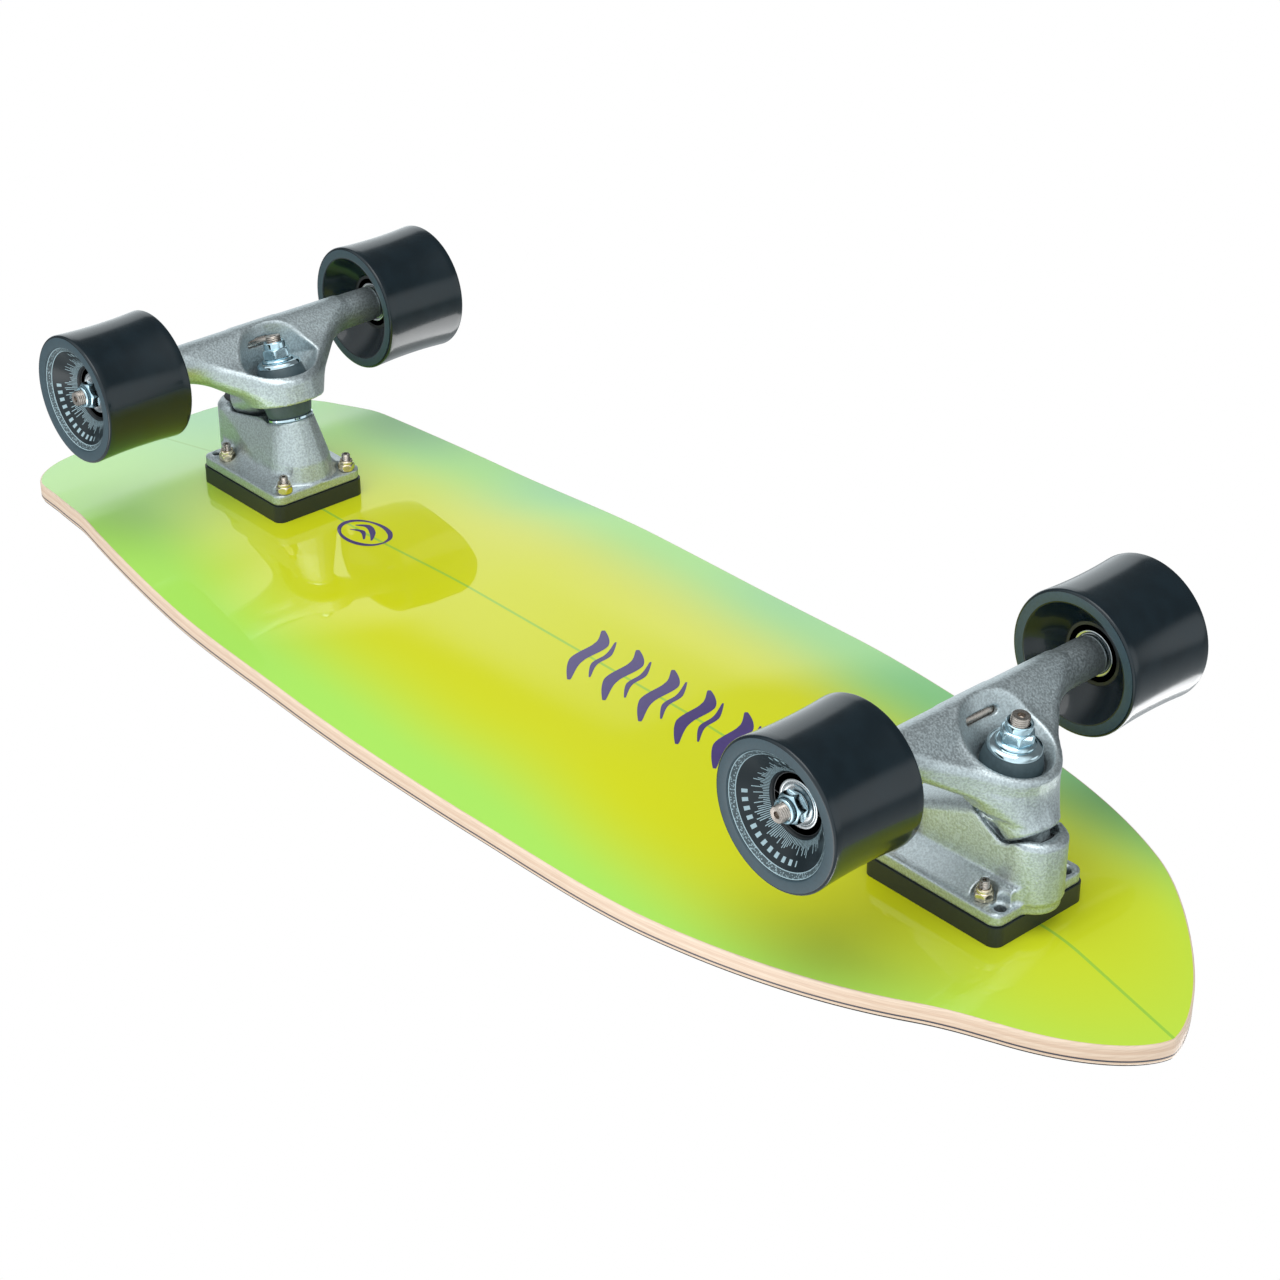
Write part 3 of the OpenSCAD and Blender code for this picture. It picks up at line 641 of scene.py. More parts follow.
def nose_field(f, nose):
    """The ball, neck and flare that turn in the pivot cup."""
    u, v, w = f.local(nose)
    ball = np.sqrt(u * u + v * v + w * w) - NOSE_R
    neck = f.rod(nose, NOSE_R, 0.0, NOSE_NECK + 0.5, 0.3)
    flare = f.rod(nose, NOSE_R, NOSE_NECK, NOSE_NECK + NOSE_FLARE + 1, 0.8, NOSE_BASE_R)
    return soft_min(soft_min(ball, neck, 0.5), flare, 1.0)


def relief_field(t, f, pin):
    """The room under the ring for the board-side bushing and the tower."""
    return f.rod(pin, RELIEF_R, RING_LOW[t] - RELIEF_H, RING_LOW[t], 0.5)


def arm_field(t, f, spin=0.0):
    """The arm with its relief round the kingpin, turned about the steering axis."""
    nose, neck, low = pivot_in_truck(t), NOSE_NECK + NOSE_FLARE, RING_LOW[t]
    swing = nose @ turn(spin, "Z") @ nose.inverted()
    nose, pin = swing @ nose, swing @ kingpin_in_truck(t)
    arm = disc_hull(
        f, (nose, ARM_R[t] - 1.5, neck), (nose, ARM_R[t], neck + 1.5),
        (pin, CHIN_R[t], low), (pin, CHIN_R[t], low + RING_HALF),
    )
    return soft_max(arm, -relief_field(t, f, pin), 1.0)


def bar_discs(bar, sizes):
    """Two discs of one radius on the bar, as far from the centre plane as each other."""
    radius, reach = sizes
    return (bar, radius, -reach), (bar, radius, reach)


def hanger_shape(t, step):
    """Bar, webs, ring, dish, pivot arm and nose of a hanger, blended as a casting."""
    pin, bar, nose = kingpin_in_truck(t), axle_in_truck(t), pivot_in_truck(t)
    f = Field((-26.0, 30.0), (56.0, 98.0), 80.0, step)
    y = np.abs(f.y)
    across = np.hypot(f.x - AXLE_X[t], f.z - TRUCK_H)
    low, top = RING_LOW[t], RING_TOP[t]
    body = soft_max(across - HANGER_END_R - 0.4 * (1 - y / HANGER_END), y - HANGER_END, 1.2)
    head = disc_hull(f, *bar_discs(bar, HEAD), (pin, RING_R - 0.6, low), (pin, RING_R - 0.6, top))
    webs = disc_hull(f, *bar_discs(bar, WEBS), (pin, RING_R - 1.0, low + 1), (pin, RING_R - 1.0, WEB_TOP[t]))
    body = soft_min(soft_min(body, head, 5.0), webs, 8.0)
    body = soft_min(body, arm_field(t, f), 5.0)
    body = soft_max(body, -relief_field(t, f, pin), 1.0)
    body = soft_min(body, nose_field(f, nose), 1.5)
    body = soft_max(body, -dish_field(t, f, pin), 1.2)
    body = soft_max(body, -window_field(t, f), 0.6)
    body = soft_max(body, -f.rod(pin, KINGPIN_CLEAR_R, -20, 20, 0.1), 0.6)
    body = soft_max(body, -f.rod(pin, SEAT_R, SEAT_HALF, RING_HALF + 0.6, 0.2), 0.4)
    body = soft_max(body, -f.rod(pin, SEAT_R, low - 1, -SEAT_HALF, 0.2), 0.7)
    body = np.maximum(body, AXLE_R + 0.05 - across)
    return f.mesh(body)


def block_hull(t, f, pin):
    """The block that carries the kingpin and runs into the pivot housing."""
    foot, end, end_r = move(FOOT_X[t], 0, 0), move(PIVOT_POS[t][0], 0, 0), HOUSING_R[t] + 1
    return disc_hull(
        f, (foot, FOOT_R[t], PLATE_TOP), (foot, WAIST_R[t], WAIST_Z), (foot, WAIST_R[t], SHOULDER_Z[t]),
        (pin, TOWER_R[t], TOWER_TOP), (pin, TOWER_R[t], TOWER_TOP - 3),
        (end, end_r, PLATE_TOP), (end, end_r, BLOCK_TOP[t]),
    )


def apron_hull(t, f):
    """The low ramp from the flange up to the block."""
    x0, x1, crest_z = APRON_X[t] - PLATE_IN[t], PLATE_OUT - 3, APRON_TOP[t]
    low = [(x, y, z) for x in (x0 - 2, x1) for y in (-25, 25) for z in (PLATE_TOP - 3, PLATE_TOP)]
    return f.hull(low + [(x, y, crest_z) for x in (x0, x1) for y in (-16, 16)])


def sweep_field(t, f, cup):
    """The space that the hanger's arm needs while it rocks."""
    arms = [arm_field(t, f, spin) for spin in np.linspace(-STEER[t], STEER[t], 7)]
    nose = f.rod(cup, NOSE_BASE_R + ARM_CLEAR, CUP_RIM, CUP_RIM + 10.5, 0.4)
    return np.minimum(np.minimum.reduce(arms) - ARM_CLEAR, nose)


def baseplate_shape(t, step):
    """Flange, apron, block and pivot housing of a baseplate, blended as a casting."""
    pin, cup = kingpin_in_truck(t), pivot_in_truck(t)
    f = Field((-PLATE_IN[t] - 2, RISER_T - 2), (PLATE_OUT + 14, 58.0), 31.0, step)
    draft = 0.6
    flange = f.slab(
        -PLATE_IN[t] + draft, PLATE_OUT - draft, RISER_W / 2 - draft, RISER_T, PLATE_TOP, PLATE_CORNER, 1.0
    )
    housing = f.rod(move(PIVOT_POS[t][0], 0, 0), HOUSING_R[t], RISER_T, HOUSING_TOP[t], 2.2)
    body = soft_min(block_hull(t, f, pin), housing, 3.0)
    body = soft_min(body, apron_hull(t, f), 3.0)
    body = soft_min(flange, body, 1.5)
    body = soft_max(body, RISER_T - f.z, 0.3)
    body = soft_max(body, -f.rod(cup, CUP_R, -CUP_DEPTH, 14, 0.1), 0.6)
    body = soft_max(body, -sweep_field(t, f, cup), 1.4)
    body = soft_max(body, -f.rod(pin, WASHER_ROOM_R, TOWER_TOP, 20, 0.4), 0.5)
    body = soft_max(body, -f.rod(pin, KINGPIN_R + 0.15, -40, 0, 0.1), 0.3)
    holes = ((-BOLT_L / 2, SPOT_R), (BOLT_L / 2, SPOT_R), (BOLT_L / 2 + SPARE_L, SPARE_SPOT_R))
    for x, face_r in holes:
        hole = move(x, BOLT_W / 2, 0)
        body = soft_max(body, -f.rod(hole, BOLT_HOLE_R, 0, 60, 0.1), 0.7)
        body = soft_max(body, -f.rod(hole, face_r, PLATE_TOP, 40, 0.8), 1.0)
    return f.mesh(body)


# ---- Deck ----


def smooth_step(s):
    s = np.clip(s, 0, 1)
    return s * s * (3 - 2 * s)


def kick(d, blend):
    """A straight rise after d = 0 that sets in over a blend."""
    return np.where(d < 0, 0, np.where(d < blend, d * d / (2 * blend), d - blend / 2))


def half_width(x):
    """Half the deck's width: a pointed nose, and a squared tail with round corners."""
    ahead = np.clip((x - WIDEST_X) / (NOSE_X - WIDEST_X), 0, 1)
    nose = HALF_W * (1 - ahead**3.2) ** 0.66
    behind = np.maximum(WIDEST_X - x, 0)
    cut = np.clip(behind - (NOSE_X + WIDEST_X - TAIL_CORNER), 0, TAIL_CORNER)
    corner = TAIL_CORNER - np.sqrt(TAIL_CORNER**2 - cut**2)
    tail = HALF_W * (1 - (behind / TAIL_TAPER) ** 2.2) - corner
    return np.maximum(0.8, np.where(x > WIDEST_X, nose, tail))


def under_z(x, y):
    """Height of the deck's underside: flat pads, a sunken middle, kicks at both ends, raised rails."""
    from_middle = np.abs(x - WIDEST_X)
    camber = CAMBER * (smooth_step((from_middle - CAMBER_FLAT) / CAMBER_RAMP) - 1)
    nose = NOSE_RISE * kick(x - NOSE_KICK_X, 24) / kick(NOSE_X - NOSE_KICK_X, 24)
    tail = TAIL_SLOPE * kick(TAIL_KICK_X - x, 16)
    width = half_width(x) - PAD_HALF_W
    concave = CONCAVE * np.clip(1 - (from_middle / CONCAVE_HALF_L) ** 1.6, 0, None)
    aside = np.clip(np.abs(y) - PAD_HALF_W, 0, None) / np.maximum(width, 1)
    rail = concave * np.where(width < 1, 0, aside**1.6)
    return PAD_Z + camber + nose + tail + rail


def deck_loop(stations, columns):
    """Indices of a grid's outline, in order."""
    n = columns + 1
    bottom = [i * n for i in range(stations + 1)]
    top = [i * n + columns for i in range(stations, -1, -1)]
    head = [stations * n + j for j in range(1, columns)]
    foot = [j for j in range(columns - 1, 0, -1)]
    return bottom + head + top + foot


def board_shapes(low, high, inset, soft, stations=200, columns=32):
    """(lower face, rim, upper face) of a sheet on the deck. The rim's V runs from low to high."""
    i, j = np.meshgrid(np.arange(stations + 1), np.arange(columns + 1), indexing="ij")
    x = -NOSE_X * np.cos(math.pi * i / stations)
    y = half_width(x) * np.sin((2 * j / columns - 1) * math.pi / 2)
    loop = deck_loop(stations, columns)

    def level(distance, height):
        px = x * (1 - distance / NOSE_X)
        py = y * (1 - distance / HALF_W)
        return np.stack([px, py, under_z(px, py) + height], -1).reshape(-1, 3)

    a = i[:-1, :-1] * (columns + 1) + j[:-1, :-1]
    quads = np.stack([a, a + 1, a + columns + 2, a + columns + 1], -1).reshape(-1, 4)
    turns = np.linspace(0, math.pi / 2, 5)
    levels = [(inset + soft * (1 - math.sin(t)), low + soft * (1 - math.cos(t))) for t in turns]
    levels += [(inset + soft * (1 - math.cos(t)), high - soft * (1 - math.sin(t))) for t in turns]
    rim = np.concatenate([level(d, h)[loop] for d, h in levels])
    n = len(loop)
    r, c = np.meshgrid(np.arange(len(levels) - 1), np.arange(n), indexing="ij")
    k = (c + 1) % n
    sides = np.stack([r * n + c, r * n + k, (r + 1) * n + k, (r + 1) * n + c], -1).reshape(-1, 4)
    v = np.array([(h - low) / (high - low) for _, h in levels])
    around = np.stack([c, c + 1, c + 1, c], -1) / n
    uv = np.stack([around, np.stack([v[r], v[r], v[r + 1], v[r + 1]], -1)], -1)
    lower, upper = level(inset + soft, low), level(inset + soft, high)
    return plain_shape(lower, quads), (rim, sides, uv.reshape(-1, 4, 2)), plain_shape(upper, quads)


INK_T = 0.06


def ribbon(points, widths):
    """A flat brush stroke through points on the underside, with a width at each."""
    p = np.array(points, float)
    s = np.linspace(0, len(p) - 1, 12 * (len(p) - 1) + 1)
    k = np.clip(s.astype(int), 0, len(p) - 2)
    f = (s - k)[:, None]
    before, after = p[np.maximum(k - 1, 0)], p[np.minimum(k + 2, len(p) - 1)]
    a, b = p[k], p[k + 1]
    square, cube = 2 * before - 5 * a + 4 * b - after, 3 * a - before - 3 * b + after
    path = 0.5 * (2 * a + (b - before) * f + square * f**2 + cube * f**3)
    ahead = np.gradient(path, axis=0)
    side = np.stack([-ahead[:, 1], ahead[:, 0]], 1) / np.maximum(np.hypot(*ahead.T), 1e-6)[:, None]
    w = np.interp(s, np.arange(len(widths)), widths)[:, None] / 2
    flat = np.stack([path - side * w, path, path + side * w], 1).reshape(-1, 2)
    z = under_z(flat[:, 0], flat[:, 1]) - INK_T
    n = 3
    i, j = np.meshgrid(np.arange(len(path) - 1), np.arange(n - 1), indexing="ij")
    a = (i * n + j).ravel()
    return plain_shape(np.column_stack([flat, z]), np.stack([a, a + 1, a + n + 1, a + n], 1))


def ornament_shapes():
    """A row of abstract strokes, and an oval with two more, in place of the printed marks."""
    shapes = []
    for x in range(16, 200, 26):
        shapes.append(ribbon([(x - 12, -22), (x - 2, -12), (x + 1, 7), (x + 13, 22)], [1.5, 7.5, 7, 1.5]))
        shapes.append(ribbon([(x + 1, -19), (x + 8, -8), (x + 10, 3), (x + 18, 13)], [0.8, 3.2, 3.2, 0.8]))
    ring = [(-166 + 17 * math.cos(a), 11.5 * math.sin(a)) for a in np.linspace(0, 2 * math.pi, 13)]
    shapes.append(ribbon(ring, [1.6, 2.4, 3.0, 2.4] * 3 + [1.6]))
    shapes.append(ribbon([(-177, -2), (-171, -6), (-163, -3), (-156, 3)], [0.8, 3.4, 3.4, 0.8]))
    shapes.append(ribbon([(-175, 3), (-168, 0), (-160, 5)], [0.8, 2.8, 0.8]))
    return shapes


def build_board(m):
    """The maple deck with its print and ornament, and the grip tape on its standing side."""
    here = Matrix.Identity(4)
    lower, rim, upper = board_shapes(0, DECK_T, 0, 0.9)
    maple = [(lower, m["print"], here), (rim, m["ply"], here), (upper, m["ply"], here)]
    build("deck_maple", maple, "board", ["deck"], 30)
    build("deck_ornament", [(s, m["ink"], here) for s in ornament_shapes()], "board")
    parts = board_shapes(DECK_T, DECK_T + GRIP_T, 0.7, 0.25)
    grip = build("grip_sheet", [(p, m["grip"], here) for p in parts], "board", ["grip_tape"], 30)
    cut_holes(grip)


OPENING_R, OPENING_H = 5.0 * MM, 4.0 * MM


def cut_holes(grip):
    """Opens the grip tape over every bolt head."""
    work = bmesh.new()
    for t in (FRONT, REAR):
        for x, y in bolt_places():
            at = truck(t) @ Vector((x, y, -DECK_T - GRIP_T / 2))
            bmesh.ops.create_cone(
                work, cap_ends=True, segments=32, radius1=OPENING_R, radius2=OPENING_R, depth=OPENING_H,
                matrix=Matrix.Translation(at * MM),
            )
    mesh = bpy.data.meshes.new("bolt_openings")
    work.to_mesh(mesh)
    work.free()
    tool = new_object("bolt_openings", mesh)
    cut = grip.modifiers.new("holes", "BOOLEAN")
    cut.object, cut.operation, cut.solver = tool, "DIFFERENCE", "EXACT"
    graph = bpy.context.evaluated_depsgraph_get()
    cut_mesh = bpy.data.meshes.new_from_object(grip.evaluated_get(graph), depsgraph=graph)
    grip.modifiers.clear()
    grip.data = cut_mesh
    bpy.data.objects.remove(tool)


def bolt_places():
    return [(x, y) for x in (-BOLT_L / 2, BOLT_L / 2) for y in (-BOLT_W / 2, BOLT_W / 2)]


# ---- Parts fixed to the deck ----


def soften(name, node, mat, width):
    """A copy of one of the board's CAD parts, with rounded edges."""
    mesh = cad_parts[node].data.copy()
    mesh.materials.clear()
    mesh.materials.append(mat)
    mesh.shade_smooth()
    mesh.set_sharp_from_angle(angle=math.radians(35))
    made = new_object(name, mesh)
    bevel = made.modifiers.new("edges", "BEVEL")
    bevel.width, bevel.segments = width * MM, 3
    bevel.limit_method, bevel.angle_limit = "ANGLE", math.radians(40)
    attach(made, "board")
    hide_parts(node)


def bolt_head():
    """Countersunk head with a hexagon socket; its flat side faces -Z at z = 0."""
    socket = [(0, 1.9, 1.9), (1.901, 1.9, 1.7), (2.201, 0.1, 1.75), (2.301, 0, 2.2)]
    head = [(4.401, 0), (4.701, 0.2), (4.701, 0.45), (2.401, 2.8), (2.401, 4.0)]
    return lathe(socket + head, 48)


def build_fasteners(t, m):
    name = NAME[t]
    heads, nuts = [], []
    for x, y in bolt_places():
        spin = turn(17 * (x > 0) + 41 * (y > 0), "Z")
        top = truck(t) @ move(x, y, -DECK_T - GRIP_T + 0.1) @ spin
        heads.append((bolt_head(), m["zinc"], top))
        heads.append((lathe([(BOLT_R, 3.5), (BOLT_R, PLATE_TOP + 9)], 24), m["steel"], top))
        tip = truck(t) @ move(x, y, PLATE_TOP + 4.6) @ spin
        heads.append((threaded(BOLT_R, BOLT_PITCH, 4.6, 0.4, 24), m["steel"], tip))
        nuts.append((lock_nut(4.0, BOLT_R, 5.8), m["brass"], truck(t) @ move(x, y, PLATE_TOP) @ spin))
    fit(name, "deck_bolts", heads, "board", "mount_bolts")
    fit(name, "deck_nuts", nuts, "board", "mount_nuts")


def bushing_profile(z0, z1, low_r, high_r, bulge):
    """A bushing squeezed between its seats, a little barrelled."""
    bore = KINGPIN_R + 0.3
    spots = np.linspace(0, 1, 9)[1:-1]
    side = [(low_r + (high_r - low_r) * k + bulge * math.sin(math.pi * k), z0 + (z1 - z0) * k) for k in spots]
    foot = [(bore, z0), (low_r - 1.0, z0), (low_r - 0.3, z0 + 0.15)]
    return foot + side + [(high_r - 0.3, z1 - 0.15), (high_r - 1.0, z1), (bore, z1)]


def lower_washer_profile(top):
    """The cupped washer on the tower, its cup towards the bushing."""
    bore, base = 5.2, TOWER_TOP
    return [
        (bore, base + 0.3), (9.5, base), (11.9, base + 0.1), (12.4, base + 0.6), (12.4, top - 0.2),
        (12.1, top), (11.5, top - 0.4), (bore, top - 0.5), (bore, base + 0.3),
    ]


def upper_washer_profile():
    """The cupped washer under the kingpin's nut, its rolled rim over the bushing."""
    bore, z = 5.0, ROAD_TOP
    return [
        (bore, z + 0.1), (10.9, z + 0.1), (11.6, z - 0.5), (12.0, z - 0.3), (11.9, z + 0.8),
        (11.2, z + 1.7), (9.6, z + 2.3), (bore, z + 2.4), (bore, z + 0.1),
    ]


def build_kingpin_stack(t, m):
    """Washers, bushings, nut and kingpin, from the tower outwards."""
    name, at = NAME[t], kingpin(t)
    base, top, tip = TOWER_TOP + LOWER_WASHER_T, ROAD_TOP + UPPER_WASHER_T, KINGPIN_TIP[t]
    low = bushing_profile(base - 0.4, -SEAT_HALF, 11.7, 13.7, 0.35)
    high = bushing_profile(SEAT_HALF, ROAD_TOP, 14.1, 11.7, 0.2)
    for piece, profile, finish, slot, node in (
        ("board_side_washer", lower_washer_profile(base), "washer", "washer", "lower_washer"),
        ("board_side_bushing", low, "rubber", "bushing", "board_bushing"),
        ("road_side_bushing", high, "rubber", "bushing", "road_bushing"),
        ("road_side_washer", upper_washer_profile(), "washer", "washer", "upper_washer"),
    ):
        fit(name, piece, [(lathe(profile), m[finish], at)], "board", node)
    nut = (lock_nut(6.7, KINGPIN_R, 10.5, 8.9), m["zinc"], at @ move(0, 0, top) @ turn(20, "Z"))
    fit(name, "lock_nut", [nut], "board", "kingpin_nut")
    shank = (lathe([(KINGPIN_R, -45), (KINGPIN_R, top + 5)], 36), m["steel"], at)
    thread = threaded(KINGPIN_R - 0.5, PIN_PITCH, tip - top - 4, 0.5, 40)
    fit(name, "pin", [shank, (thread, m["steel"], at @ move(0, 0, top + 4))], "board", "kingpin")


def cup_profile():
    """The pivot cup: a hollow ball inside a plain plug with a soft rim."""
    ball, wall = NOSE_R + 0.25, CUP_R - 0.02
    bowl = [(abs(ball * math.cos(a)), -ball * math.sin(a)) for a in np.linspace(0, math.pi / 2, 8)]
    plug = [(0, -CUP_DEPTH), (CUP_R - 0.4, -CUP_DEPTH), (wall, -CUP_DEPTH + 0.4), (wall, CUP_RIM - 0.3)]
    return plug + [(CUP_R - 0.3, CUP_RIM), (7.3, CUP_RIM - 0.1)] + bowl


def build_base(t, m, step):
    name, cup = NAME[t], truck(t) @ pivot_in_truck(t)
    soften(f"{name}_pad", f"{name}_riser", m["riser"], 0.9)
    cast = (baseplate_shape(t, step), m["cast"], truck(t))
    fit(name, "cast_base", [cast], "board", "baseplate", 60)
    fit(name, "cup", [(lathe(cup_profile(), 60), m["cup"], cup)], "board", "pivot_cup")


# ---- Parts that rock with the hanger ----


def build_hanger(t, m, step):
    name, body = NAME[t], f"{NAME[t]}_hanger_assembly"
    cast = (hanger_shape(t, step), m["cast"], truck(t))
    fit(name, "cast_hanger", [cast], body, "hanger", 60)
    rods = [(lathe([(AXLE_R, -NUT_BASE), (AXLE_R, NUT_BASE)], 36), m["steel"], axle(t))]
    races, washers, spacers, nuts = [], [], [], []
    for _, side in SIDES:
        out = on_side(t, side)
        nut_at = out @ move(0, 0, NUT_BASE)
        end = threaded(AXLE_R, PIN_PITCH, AXLE_HALF - NUT_BASE, 0.5, 36)
        rods.append((end, m["steel"], nut_at))
        for z in (BEARING_IN, BEARING_OUT):
            races.append((lathe(ring_profile(5.5, 4.0, z, z + BEARING_W, 0.35), 48), m["race"], out))
        for z in (HANGER_END, STACK_END):
            washers.append((lathe(ring_profile(5.4, 4.0, z, z + SPEED_WASHER_T, 0.25), 48), m["zinc"], out))
        spacer = ring_profile(5.4, 4.0, BEARING_IN + BEARING_W, BEARING_OUT, 0.2)
        spacers.append((lathe(spacer, 36), m["steel"], out))
        spin = turn(11 if side > 0 else 34, "Z")
        nuts.append((lock_nut(6.35, AXLE_R, 7.6), m["zinc"], nut_at @ spin))
    fit(name, "axle_rod", rods, body, "axle")
    fit(name, "races", races, body, "inner_races")
    fit(name, "thin_washers", washers, body, "speed_washers")
    fit(name, "spacers", spacers, body, "bearing_spacers")
    fit(name, "end_nuts", nuts, body, "axle_nuts")


# ---- Wheels ----

LIP_R, FACE_R, FACE_IN_R = 28.9, 27.9, 14.6
HUB_R, SEAT_STEP_R = 15.3, 11.0


def tread_rows(z0, z1):
    """Rows of the tread from the inner lip to the outer one, a little hollow between them."""
    soft, hollow = 1.3, 0.9
    span = WHEEL_HALF - soft
    middle = [(WHEEL_R - hollow * (1 - k * k), WHEEL_MID + span * k) for k in np.linspace(-1, 1, 15)]
    low = arc(WHEEL_R - soft, z0 + soft, soft, -90, 0, 6)
    high = arc(WHEEL_R - soft, z1 - soft, soft, 0, 90, 6)
    return low[:-1] + middle + high[1:]


def wheel_shapes(m, at):
    """The tyre's skin, from the hub's inner side round the tread to the hub's outer side."""
    z0, z1 = WHEEL_MID - WHEEL_HALF, WHEEL_MID + WHEEL_HALF
    tread, inside = tread_rows(z0, z1), BEARING_IN - 0.3
    cone = [
        (HUB_R, inside), (17.5, BEARING_IN - 1.6), (22, BEARING_IN - 5.5), (25.6, z0 + 4.2),
        (27.6, z0 + 1.0), (28.3, z0 + 0.15), (LIP_R, z0),
    ]
    lip = [(LIP_R, z1), (28.3, z1 - 0.15), (FACE_R, z1 - 0.7)]
    face = [lip[-1], (24.5, z1 - 3.6), (20, z1 - 7.2), (16.6, z1 - 10.2), (FACE_IN_R, z1 - 12.0)]
    well = [face[-1], (14.0, z1 - 12.6), (13.8, STACK_END + 0.1), (13.6, STACK_END), (SEAT_STEP_R, STACK_END)]
    # The lips take the lighter finish, which holds a painted sheen.
    skin = (
        (cone, "urethane"), ([(LIP_R, z0), tread[0]], "lip"), (tread, "urethane"),
        ([tread[-1], (LIP_R, z1)], "lip"), (lip, "lip"), (face, "face"), (well, "core"),
        ([(SEAT_STEP_R, BEARING_IN), (15.0, BEARING_IN), (HUB_R, inside)], "core"),
    )
    return [(lathe(profile, 96), m[finish], at) for profile, finish in skin]


def core_shape():
    """The hub inside the tyre, stepped in between the two bearings."""
    seat, step, outer = 11, 9.5, 13.5
    a, b, c, d = BEARING_IN, BEARING_IN + BEARING_W, BEARING_OUT, STACK_END
    inside = [(seat, a), (seat, b), (step, b), (step, c), (seat, c), (seat, d)]
    return lathe(inside + [(outer, d), (outer, a), (seat, a)])


def shield_profile(z, facing):
    """A pressed shield with a rolled step, seen from the side that faces out."""
    depth = ((9.5, 0.25), (9.1, 0.15), (8.6, 0.55), (7.3, 0.62), (6.6, 0.3), (5.95, 0.3))
    face = [(r, z - facing * d) for r, d in depth]
    back = [(r, z - facing * (d + 0.3)) for r, d in depth[::-1]]
    return face + back + face[:1]


def build_wheel(t, label, side, m):
    name, at = f"{NAME[t]}_{label}", on_side(t, side)
    body = f"{name}_wheel"
    fit(name, "urethane", wheel_shapes(m, at), body, "tyre", 30)
    fit(name, "hub", [(core_shape(), m["core"], at)], body, "core")
    rings, shields = [], []
    for z in (BEARING_IN, BEARING_OUT):
        rings.append((lathe(ring_profile(10.98, 9.5, z, z + BEARING_W, 0.35)), m["race"], at))
        for face, facing in ((z, -1), (z + BEARING_W, 1)):
            shields.append((lathe(shield_profile(face, facing)), m["shield"], at))
    fit(name, "rings", rings, body, "outer_races")
    fit(name, "covers", shields, body, "shields")
    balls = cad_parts[f"{name}_balls"]
    balls.data.materials.clear()
    balls.data.materials.append(m["polish"])


# ---- Studio ----


def floor_material():
    """Pale paper, clear from below, because the photograph looks up from below the wheels."""
    made, n, shader = material("floor_paper", (0.82, 0.82, 0.82), 0.7)
    behind = n.add("ShaderNodeNewGeometry").outputs["Backfacing"]
    clear = n.add("ShaderNodeBsdfTransparent").outputs[0]
    blend = n.add("ShaderNodeMixShader")
    for i, value in enumerate((behind, shader.outputs[0], clear)):
        n.feed(blend, i, value)
    n.feed(n.tree.nodes["Material Output"], "Surface", blend.outputs[0])
    return made


def build_floor():
    mesh = bpy.data.meshes.new("floor")
    reach = 12.0
    corners = [(x * reach, y * reach, 0) for x, y in ((-1, -1), (1, -1), (1, 1), (-1, 1))]
    mesh.from_pydata(corners, [], [(0, 1, 2, 3)])
    mesh.materials.append(floor_material())
    floor = new_object("floor", mesh)
    floor.visible_shadow = floor.visible_glossy = floor.visible_diffuse = False


def lamp(name, at, size, power):
    """A rectangular lamp, turned to the middle of the board."""
    data = bpy.data.lights.new(name, "AREA")
    data.shape, data.size, data.size_y, data.energy = "RECTANGLE", size[0], size[1], power
    made = new_object(name, data)
    made.location = at
    made.rotation_mode = "QUATERNION"
    made.rotation_quaternion = (Vector((0, 0, 0.1)) - Vector(at)).to_track_quat("-Z", "Y")
    made.visible_camera = False


def soft_box(n, at, direction, edge, core, strength):
    """A bright patch of the room: full inside the core's cosine, and nothing outside the edge's."""
    facing = 0.0
    for value, part in zip(at, Vector(direction).normalized()):
        facing = n.math("ADD", facing, n.math("MULTIPLY", value, part))
    return n.fade(facing, edge, core, 0.0, strength)


# direction, the cosines of its edge and of its core, and strength
SOFT_BOXES = (
    ((-0.85, -0.5, -0.1), 0.865, 0.92, 1.0),
    ((0.35, 0.75, -0.55), 0.05, 0.6, 0.95),
    ((0.8, -0.55, -0.1), 0.93, 0.985, 0.9),
)


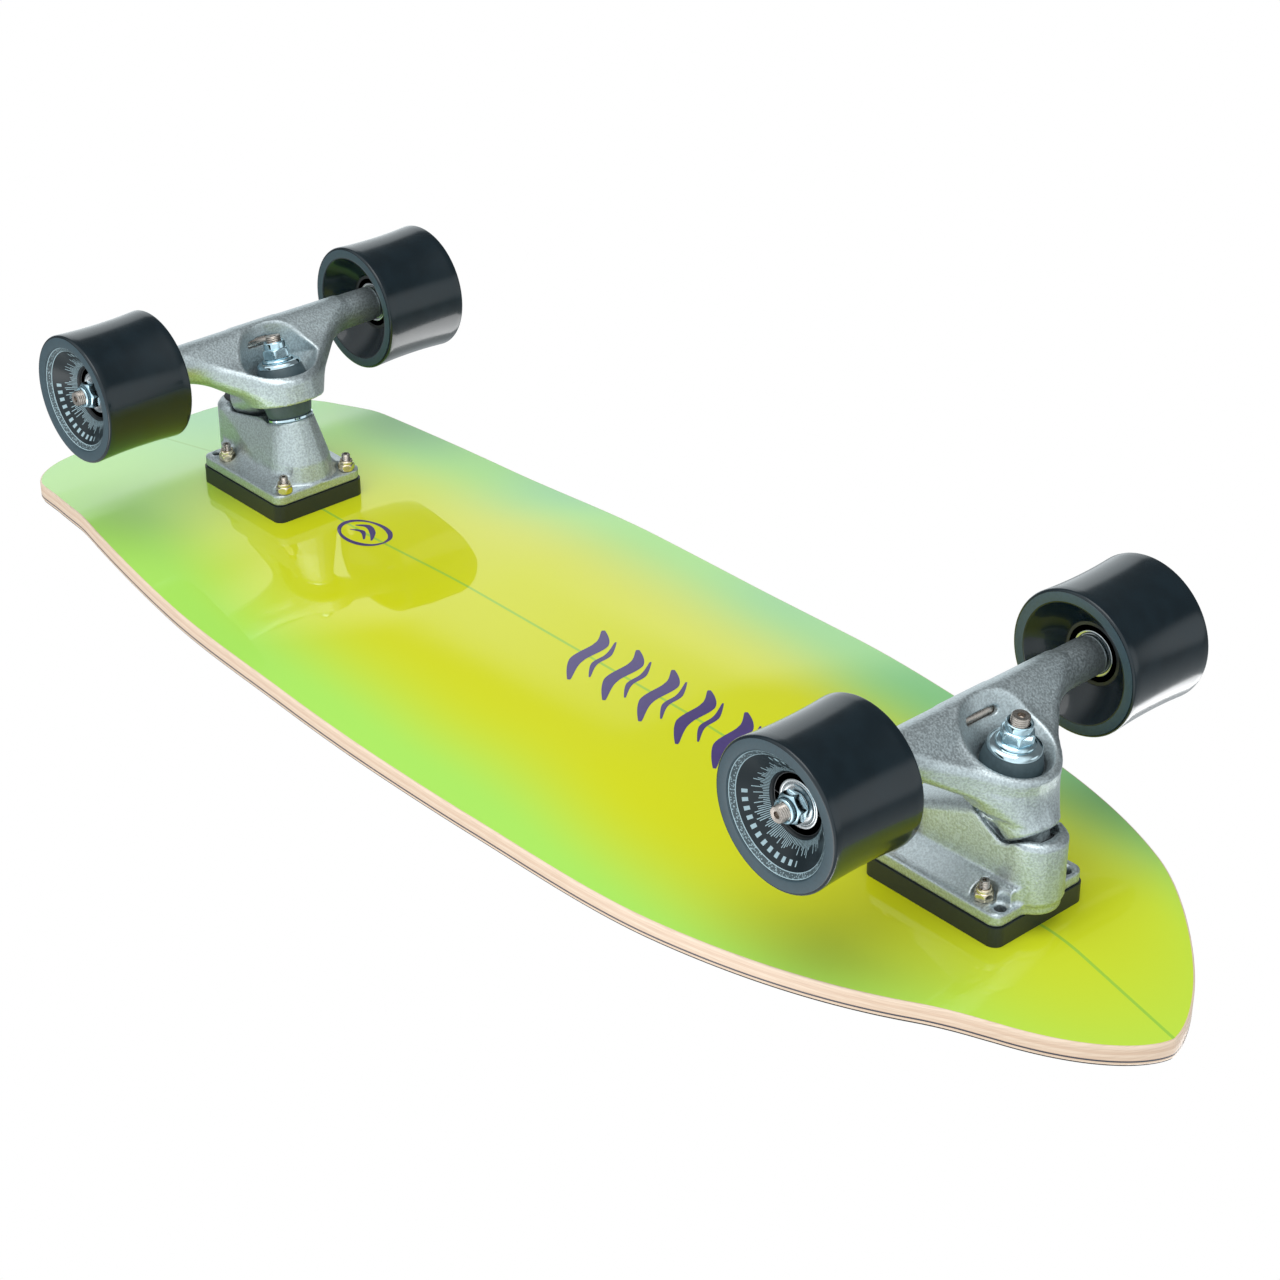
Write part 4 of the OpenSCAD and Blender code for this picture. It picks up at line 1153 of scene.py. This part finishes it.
def build_world():
    """A dim room with three bright patches, and a white background for the camera."""
    world = bpy.data.worlds.new("studio")
    world.use_nodes = True
    bpy.context.scene.world = world
    n = Nodes(world.node_tree)
    at = n.split(n.place("Generated"))
    glow = n.fade(at[2], 0.0, 0.7, 0.2, 0.7)
    for box in SOFT_BOXES:
        glow = n.math("ADD", glow, soft_box(n, at, *box))
    seen = n.add("ShaderNodeLightPath").outputs["Is Camera Ray"]
    room = n.math("MULTIPLY", glow, n.math("SUBTRACT", 1.0, seen))
    back = world.node_tree.nodes["Background"]
    n.feed(back, "Strength", n.math("MAXIMUM", room, seen))
    n.feed(back, "Color", n.mix(seen, (0.90, 0.97, 1.0), (1, 1, 1)))


def build_lamps():
    lamp("under_key", (0.3, 0.5, -1.7), (1.6, 1.2), 14)
    lamp("over_key", (0.6, -1.0, 1.8), (1.6, 1.2), 24)
    lamp("over_fill", (-0.3, 1.7, 1.1), (1.2, 1.0), 9)


VIEW_FROM = (0.9285, 0.7714, -0.5818)
VIEW_FORWARD, VIEW_UP = (-0.6492, -0.5743, 0.4987), (-0.3719, -0.3323, -0.8667)


def build_camera():
    """The photograph's viewpoint: below the nose's left side, with the board's underside up."""
    forward = Vector(VIEW_FORWARD).normalized()
    right = forward.cross(Vector(VIEW_UP)).normalized()
    up = right.cross(forward)
    data = bpy.data.cameras.new("camera")
    data.lens, data.sensor_width, data.clip_end = 78.82, 36.0, 60.0
    made = new_object("camera", data)
    turned = Matrix((right, up, -forward)).transposed().to_4x4()
    made.matrix_world = move(*VIEW_FROM) @ turned
    bpy.context.scene.camera = made


def main():
    m = make_materials()
    step = 0.7  # of the castings' grid, in millimetres
    build_board(m)
    for t in (FRONT, REAR):
        build_base(t, m, step)
        build_fasteners(t, m)
        build_kingpin_stack(t, m)
        build_hanger(t, m, step)
        for label, side in SIDES:
            build_wheel(t, label, side, m)
    build_floor()
    build_lamps()
    build_world()
    build_camera()
    bpy.context.scene.view_settings.view_transform = "Standard"


main()
